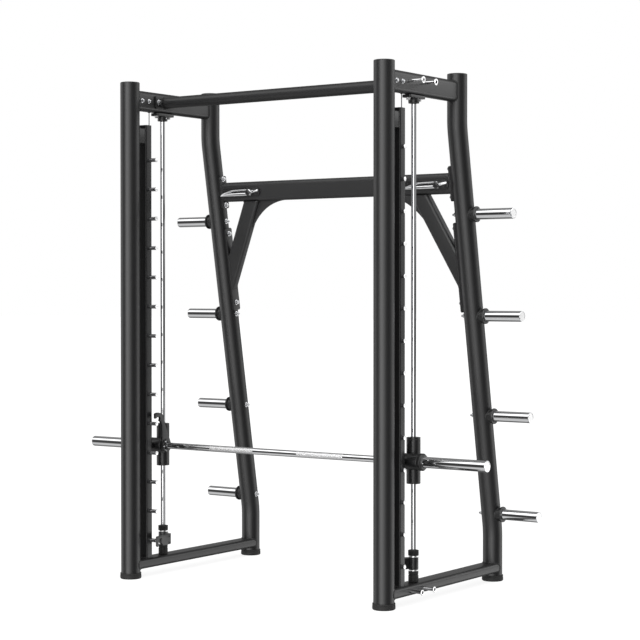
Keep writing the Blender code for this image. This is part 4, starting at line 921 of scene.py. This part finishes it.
# ---------------------------------------------------------------- safety stops
for name, s in SIDES:
    x = s * HW
    at = Matrix.Translation((x, ROD_Y, 0))
    lo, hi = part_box("stop_bumper_" + name)
    rings = [(0.0216, hi.z), (0.0228, hi.z - 0.0008)]
    z = hi.z - 0.0020
    while z > 0.2035:
        rings += [(0.0234, z), (0.0234, z - 0.0024), (0.0221, z - 0.0030), (0.0221, z - 0.0038)]
        z -= 0.0044
    rings += [(0.0234, 0.2030), (0.0230, 0.2003), (0.0195, 0.2000), (ROD_R + 0.0006, 0.2000), (ROD_R + 0.0006, hi.z)]
    Mesh().lathe(soften(rings, 0.0004, 2, True), 80, 0, at).object("stop_bumper_rubber_" + name, RUBBER, "stop_" + name, "bumper_rubber", ["stop_bumper_" + name])
    Mesh().lathe(ring_profile(0.0206, ROD_R + 0.0006, 0.1927, 0.1998, 0.0008), 64, 0, at).object("stop_washer_" + name, BRIGHT, "stop_" + name, "chrome")

    P = at @ Matrix.Rotation(-s * RAD(12), 4, "Z")
    tube = Mesh().lathe(soften([(0.0219, 0.1918), (0.0219, 0.1400), (ROD_R + 0.0006, 0.1400), (ROD_R + 0.0006, 0.1918)], 0.0010, 3, True), 80, 0, P)
    tube.object("catch_tube_" + name, PAINT2, "catch_" + name, "hook_paint", ["stop_catch_" + name])
    web = [(-s * u, v) for u, v in ((0.0560, -0.068), (0.0560, -0.036), (0.020, 0.008), (0.004, 0.0), (0.004, -0.021), (0.020, -0.068))]
    blk = Mesh().plate(soften(web, 0.003, 3, True), 0.048, 0, P @ Matrix.Translation((0, 0, 0.1655)), 0.0016)
    blk = blk.object("catch_web_" + name, PAINT2, "catch_" + name, "hook_paint")
    hole = Mesh().lathe([(0, 0.3), (0.0221, 0.3), (0.0221, 0.1), (0, 0.1)], 80, 0, P)
    combine(blk, hole)
    pz, py = PEG_Z[-1], COL_Y - ROD_Y
    nb, nf = py + PR + 0.0015, py - PR - 0.0125
    outline = [(-0.034, 0.1415), (nb + 0.018, 0.1415), (nb + 0.006, 0.150), (nb, 0.156), (nb, pz + PR + 0.0015), (nf, pz + PR + 0.0015), (nf, 0.150), (nf - 0.004, 0.1415), (nf - 0.012, 0.148),
               (nf - 0.014, 0.186), (nf - 0.008, 0.1925), (-0.034, 0.1925)]
    pl = Mesh().plate(soften(outline, 0.0035, 4, True), 0.009, 0, P @ Matrix.Translation((-s * (HW - 0.650), 0, 0)) @ Matrix(((0, 0, 1), (1, 0, 0), (0, 1, 0))).to_4x4(), 0.0012)
    pl.object("catch_plate_" + name, PAINT2, "catch_" + name, "hook_paint")
    pin = Mesh()
    d = P.to_3x3() @ Vector((-s, 0, 0))
    socket_bolt(pin, P @ Vector((-s * (HW - 0.6456), -0.052, 0.180)), d, 0.0042, 0.0030, 0, 0)
    socket_bolt(pin, P @ Vector((-s * (HW - 0.6456), -0.052, 0.152)), d, 0.0042, 0.0030, 0, 0)
    pin.object("catch_screws_" + name, BLACK_STEEL, "catch_" + name, "hook_paint")

# ---------------------------------------------------------------- pulleys, cables, counterweights
for name, s in SIDES:
    x = s * HW
    for end, y in (("front", PULLEY_FY), ("back", PULLEY_BY)):
        at = facing((x, y, PULLEY_Z), (1, 0, 0))
        groove = [(0.0207 + 0.0052 * (abs(t) / 4) ** 2, 0.0045 * t / 4) for t in range(4, -5, -1)]
        prof = [(0.0100, 0.0070), (0.0150, 0.0052), (0.0215, 0.0052), (0.0225, 0.0068), (0.0260, 0.0068), (0.0261, 0.0052)] + groove + \
               [(0.0261, -0.0052), (0.0260, -0.0068), (0.0225, -0.0068), (0.0215, -0.0052), (0.0150, -0.0052), (0.0100, -0.0070), (0.0090, -0.0070), (0.0090, 0.0070)]
        Mesh().lathe(prof, 72, 0, at).object(f"sheave_{end}_{name}", PLASTIC, f"pulley_{end}_{name}", "pulley_plastic", [f"pulley_{end}_{name}"])
        m = Mesh().lathe(ring_profile(0.0089, 0.0062, -0.0068, 0.0068, 0.0005), 48, 0, at)
        m.lathe(rod(0.0060, 0.0384, 0.0008, -0.0192), 40, 0, at)
        m.object(f"sheave_axle_{end}_{name}", STEEL, f"pulley_{end}_{name}", "chrome")

    circle = [(0.0022 * math.cos(2 * math.pi * k / 12), 0.0022 * math.sin(2 * math.pi * k / 12)) for k in range(12)]
    over = [(x, PULLEY_BY + 0.0235 * math.cos(a * math.pi / 40), PULLEY_Z + 0.0235 * math.sin(a * math.pi / 40)) for a in range(0, 21)]
    over += [(x, PULLEY_FY + 0.0235 * math.cos(a * math.pi / 40), PULLEY_Z + 0.0235 * math.sin(a * math.pi / 40)) for a in range(20, 41)]
    Mesh().sweep(over, circle).object("wire_over_" + name, WIRE, "frame", "wire_steel", ["cable_" + name])

    yo, yi = PULLEY_BY + 0.0235, PULLEY_FY - 0.0235
    zo, zi = LUG_TOP + 0.0095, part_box("counterweight_" + name)[1].z - 0.006
    run = Mesh().sweep([(x, yo, PULLEY_Z + (zo - PULLEY_Z) * k / 60) for k in range(61)], circle).object("wire_out_" + name, WIRE, None, "wire_steel")
    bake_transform(run)
    run = Mesh().sweep([(x, yi, PULLEY_Z + (zi - PULLEY_Z) * k / 24) for k in range(25)], circle).object("wire_in_" + name, WIRE, None, "wire_steel")
    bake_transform(run)

    lo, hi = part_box("counterweight_" + name)
    za, zb = lo.z, hi.z - 0.030
    prof = [(0, zb)] + soften([(0, zb), (0.0360, zb), (0.0360, za), (0, za)], 0.004, 5)[1:-1] + [(0, za)]
    cw = Mesh().lathe(prof, 80, 0, Matrix.Translation((x, YF, 0)))
    cw.lathe([(0, hi.z)] + soften([(0, hi.z), (0.0058, hi.z), (0.0058, zb - 0.001)], 0.001, 3)[1:-1] + [(0.0058, zb - 0.001), (0, zb - 0.001)], 32, 0, Matrix.Translation((x, YF + 0.029, 0)))
    cw.object("weight_" + name, STEEL, "counterweight_" + name, "weight_steel", ["counterweight_" + name])

# ---------------------------------------------------------------- floor, light, camera
fm = bpy.data.materials.new("pale_floor")
n, l, b = nodes_of(fm)
l.new(tint(n, l, noise(n, l, 3, 3), (0.22, 0.22, 0.22), (0.26, 0.26, 0.26)), b.inputs["Base Color"])
b.inputs["Roughness"].default_value = 0.9
b.inputs["Specular IOR Level"].default_value = 0.0
bm = bmesh.new()
bmesh.ops.create_grid(bm, x_segments=2, y_segments=2, size=60)
me = bpy.data.meshes.new("floor")
bm.to_mesh(me)
bm.free()
me.materials.append(fm)
floor = bpy.data.objects.new("floor", me)
floor.location = (0, 0, -0.0005)
scene.collection.objects.link(floor)
floor.visible_diffuse = floor.visible_glossy = floor.visible_shadow = False
b.inputs["Emission Color"].default_value = (1, 1, 1, 1)
b.inputs["Emission Strength"].default_value = 0.85

cam_data = bpy.data.cameras.new("camera")
cam_data.sensor_width = 36
cam_data.lens = 1780.8 / 640 * 36
cam_data.clip_end = 200
cam = bpy.data.objects.new("camera", cam_data)
psi, pitch = RAD(35.195), RAD(0.969)
look = Vector((-math.sin(psi) * math.cos(pitch), math.cos(psi) * math.cos(pitch), -math.sin(pitch)))
cam.location = (4.8039, -6.7386, 1.3474)
cam.rotation_euler = look.to_track_quat("-Z", "Y").to_euler()
scene.collection.objects.link(cam)
scene.camera = cam

world = bpy.data.worlds.new("studio")
scene.world = world
world.use_nodes = True
n, l = world.node_tree.nodes, world.node_tree.links
n.clear()


def node(kind, **inputs):
    k = n.new(kind)
    for key, val in inputs.items():
        k.inputs[key].default_value = val
    return k


def m2(op, a, b=None):
    k = n.new("ShaderNodeMath")
    k.operation = op
    for i, v in enumerate((a, b)):
        if v is None:
            continue
        if isinstance(v, (int, float)):
            k.inputs[i].default_value = v
        else:
            l.new(v, k.inputs[i])
    return k.outputs[0]


tc = n.new("ShaderNodeTexCoord")
sep = n.new("ShaderNodeSeparateXYZ")
l.new(tc.outputs["Generated"], sep.inputs[0])
CAM_AZ = math.atan2(-math.cos(psi), math.sin(psi))
az = m2("ARCTAN2", sep.outputs["Y"], sep.outputs["X"])
turn = m2("FRACT", m2("ADD", m2("DIVIDE", m2("SUBTRACT", az, CAM_AZ), 2 * math.pi), 1.5))
ramp = n.new("ShaderNodeValToRGB")
# brightness round the horizon, by degrees to the viewer's right of the camera's own direction
LEVELS = [(-180, 0.40), (-145, 0.40), (-128, 1.00), (-114, 1.45), (-100, 1.15), (-90, 0.50), (-79, 0.06), (-60, 0.04), (-51, 1.80), (-42, 4.10), (-26, 4.35), (-12, 3.00), (2, 1.80),
          (14, 0.65), (24, 0.05), (66, 0.05), (80, 0.65), (98, 2.25), (120, 2.25), (134, 0.80), (148, 0.42), (179.9, 0.40)]
PEAK = 4.35
while len(ramp.color_ramp.elements) < len(LEVELS):
    ramp.color_ramp.elements.new(0.5)
for e, (deg, v) in zip(ramp.color_ramp.elements, LEVELS):
    e.position = deg / 360 + 0.5
for e, (deg, v) in zip(ramp.color_ramp.elements, LEVELS):
    e.color = (v / PEAK, v / PEAK, v / PEAK, 1)
ramp.color_ramp.interpolation = "EASE"
l.new(turn, ramp.inputs[0])
horizon = m2("MULTIPLY", ramp.outputs["Color"], PEAK)


def band(value, start, end):
    k = n.new("ShaderNodeMapRange")
    k.interpolation_type = "SMOOTHSTEP"
    k.inputs["From Min"].default_value = start
    k.inputs["From Max"].default_value = end
    l.new(value, k.inputs["Value"])
    return k.outputs["Result"]


def toward(angle):
    """How far a direction points to a bearing, measured like the levels above."""
    q = CAM_AZ + RAD(angle)
    return m2("ADD", m2("MULTIPLY", sep.outputs["X"], math.cos(q)), m2("MULTIPLY", sep.outputs["Y"], math.sin(q)))


def between(low, high, fac):
    return m2("ADD", low, m2("MULTIPLY", fac, high - low))


# the side panel behind the machine has a dark gap at eye level
gap = m2("MULTIPLY", band(toward(108), 0.60, 0.85), m2("SUBTRACT", 1.0, band(m2("ABSOLUTE", sep.outputs["Z"]), 0.04, 0.14)))
horizon = m2("MULTIPLY", horizon, between(1.0, 0.25, gap))
over, under = band(sep.outputs["Z"], 0.30, 0.58), band(m2("MULTIPLY", sep.outputs["Z"], -1.0), 0.24, 0.54)
near = toward(0)
sky, ground = between(0.24, 1.75, band(near, -0.28, -0.08)), between(0.20, 0.62, band(near, -0.43, -0.23))
level = m2("MULTIPLY", horizon, m2("MULTIPLY", m2("SUBTRACT", 1.0, over), m2("SUBTRACT", 1.0, under)))
level = m2("ADD", level, m2("ADD", m2("MULTIPLY", over, sky), m2("MULTIPLY", under, ground)))
env = node("ShaderNodeBackground")
env.inputs["Color"].default_value = (1, 1, 1, 1)
l.new(level, env.inputs["Strength"])
white = node("ShaderNodeBackground")
white.inputs["Color"].default_value = (1, 1, 1, 1)
white.inputs["Strength"].default_value = 1.0
path_node = n.new("ShaderNodeLightPath")
mix = n.new("ShaderNodeMixShader")
l.new(path_node.outputs["Is Camera Ray"], mix.inputs[0])
l.new(env.outputs[0], mix.inputs[1])
l.new(white.outputs[0], mix.inputs[2])
out = n.new("ShaderNodeOutputWorld")
l.new(mix.outputs[0], out.inputs["Surface"])

scene.view_settings.view_transform = "Standard"
scene.view_settings.look = "None"
scene.view_settings.exposure = 0
scene.view_settings.gamma = 1
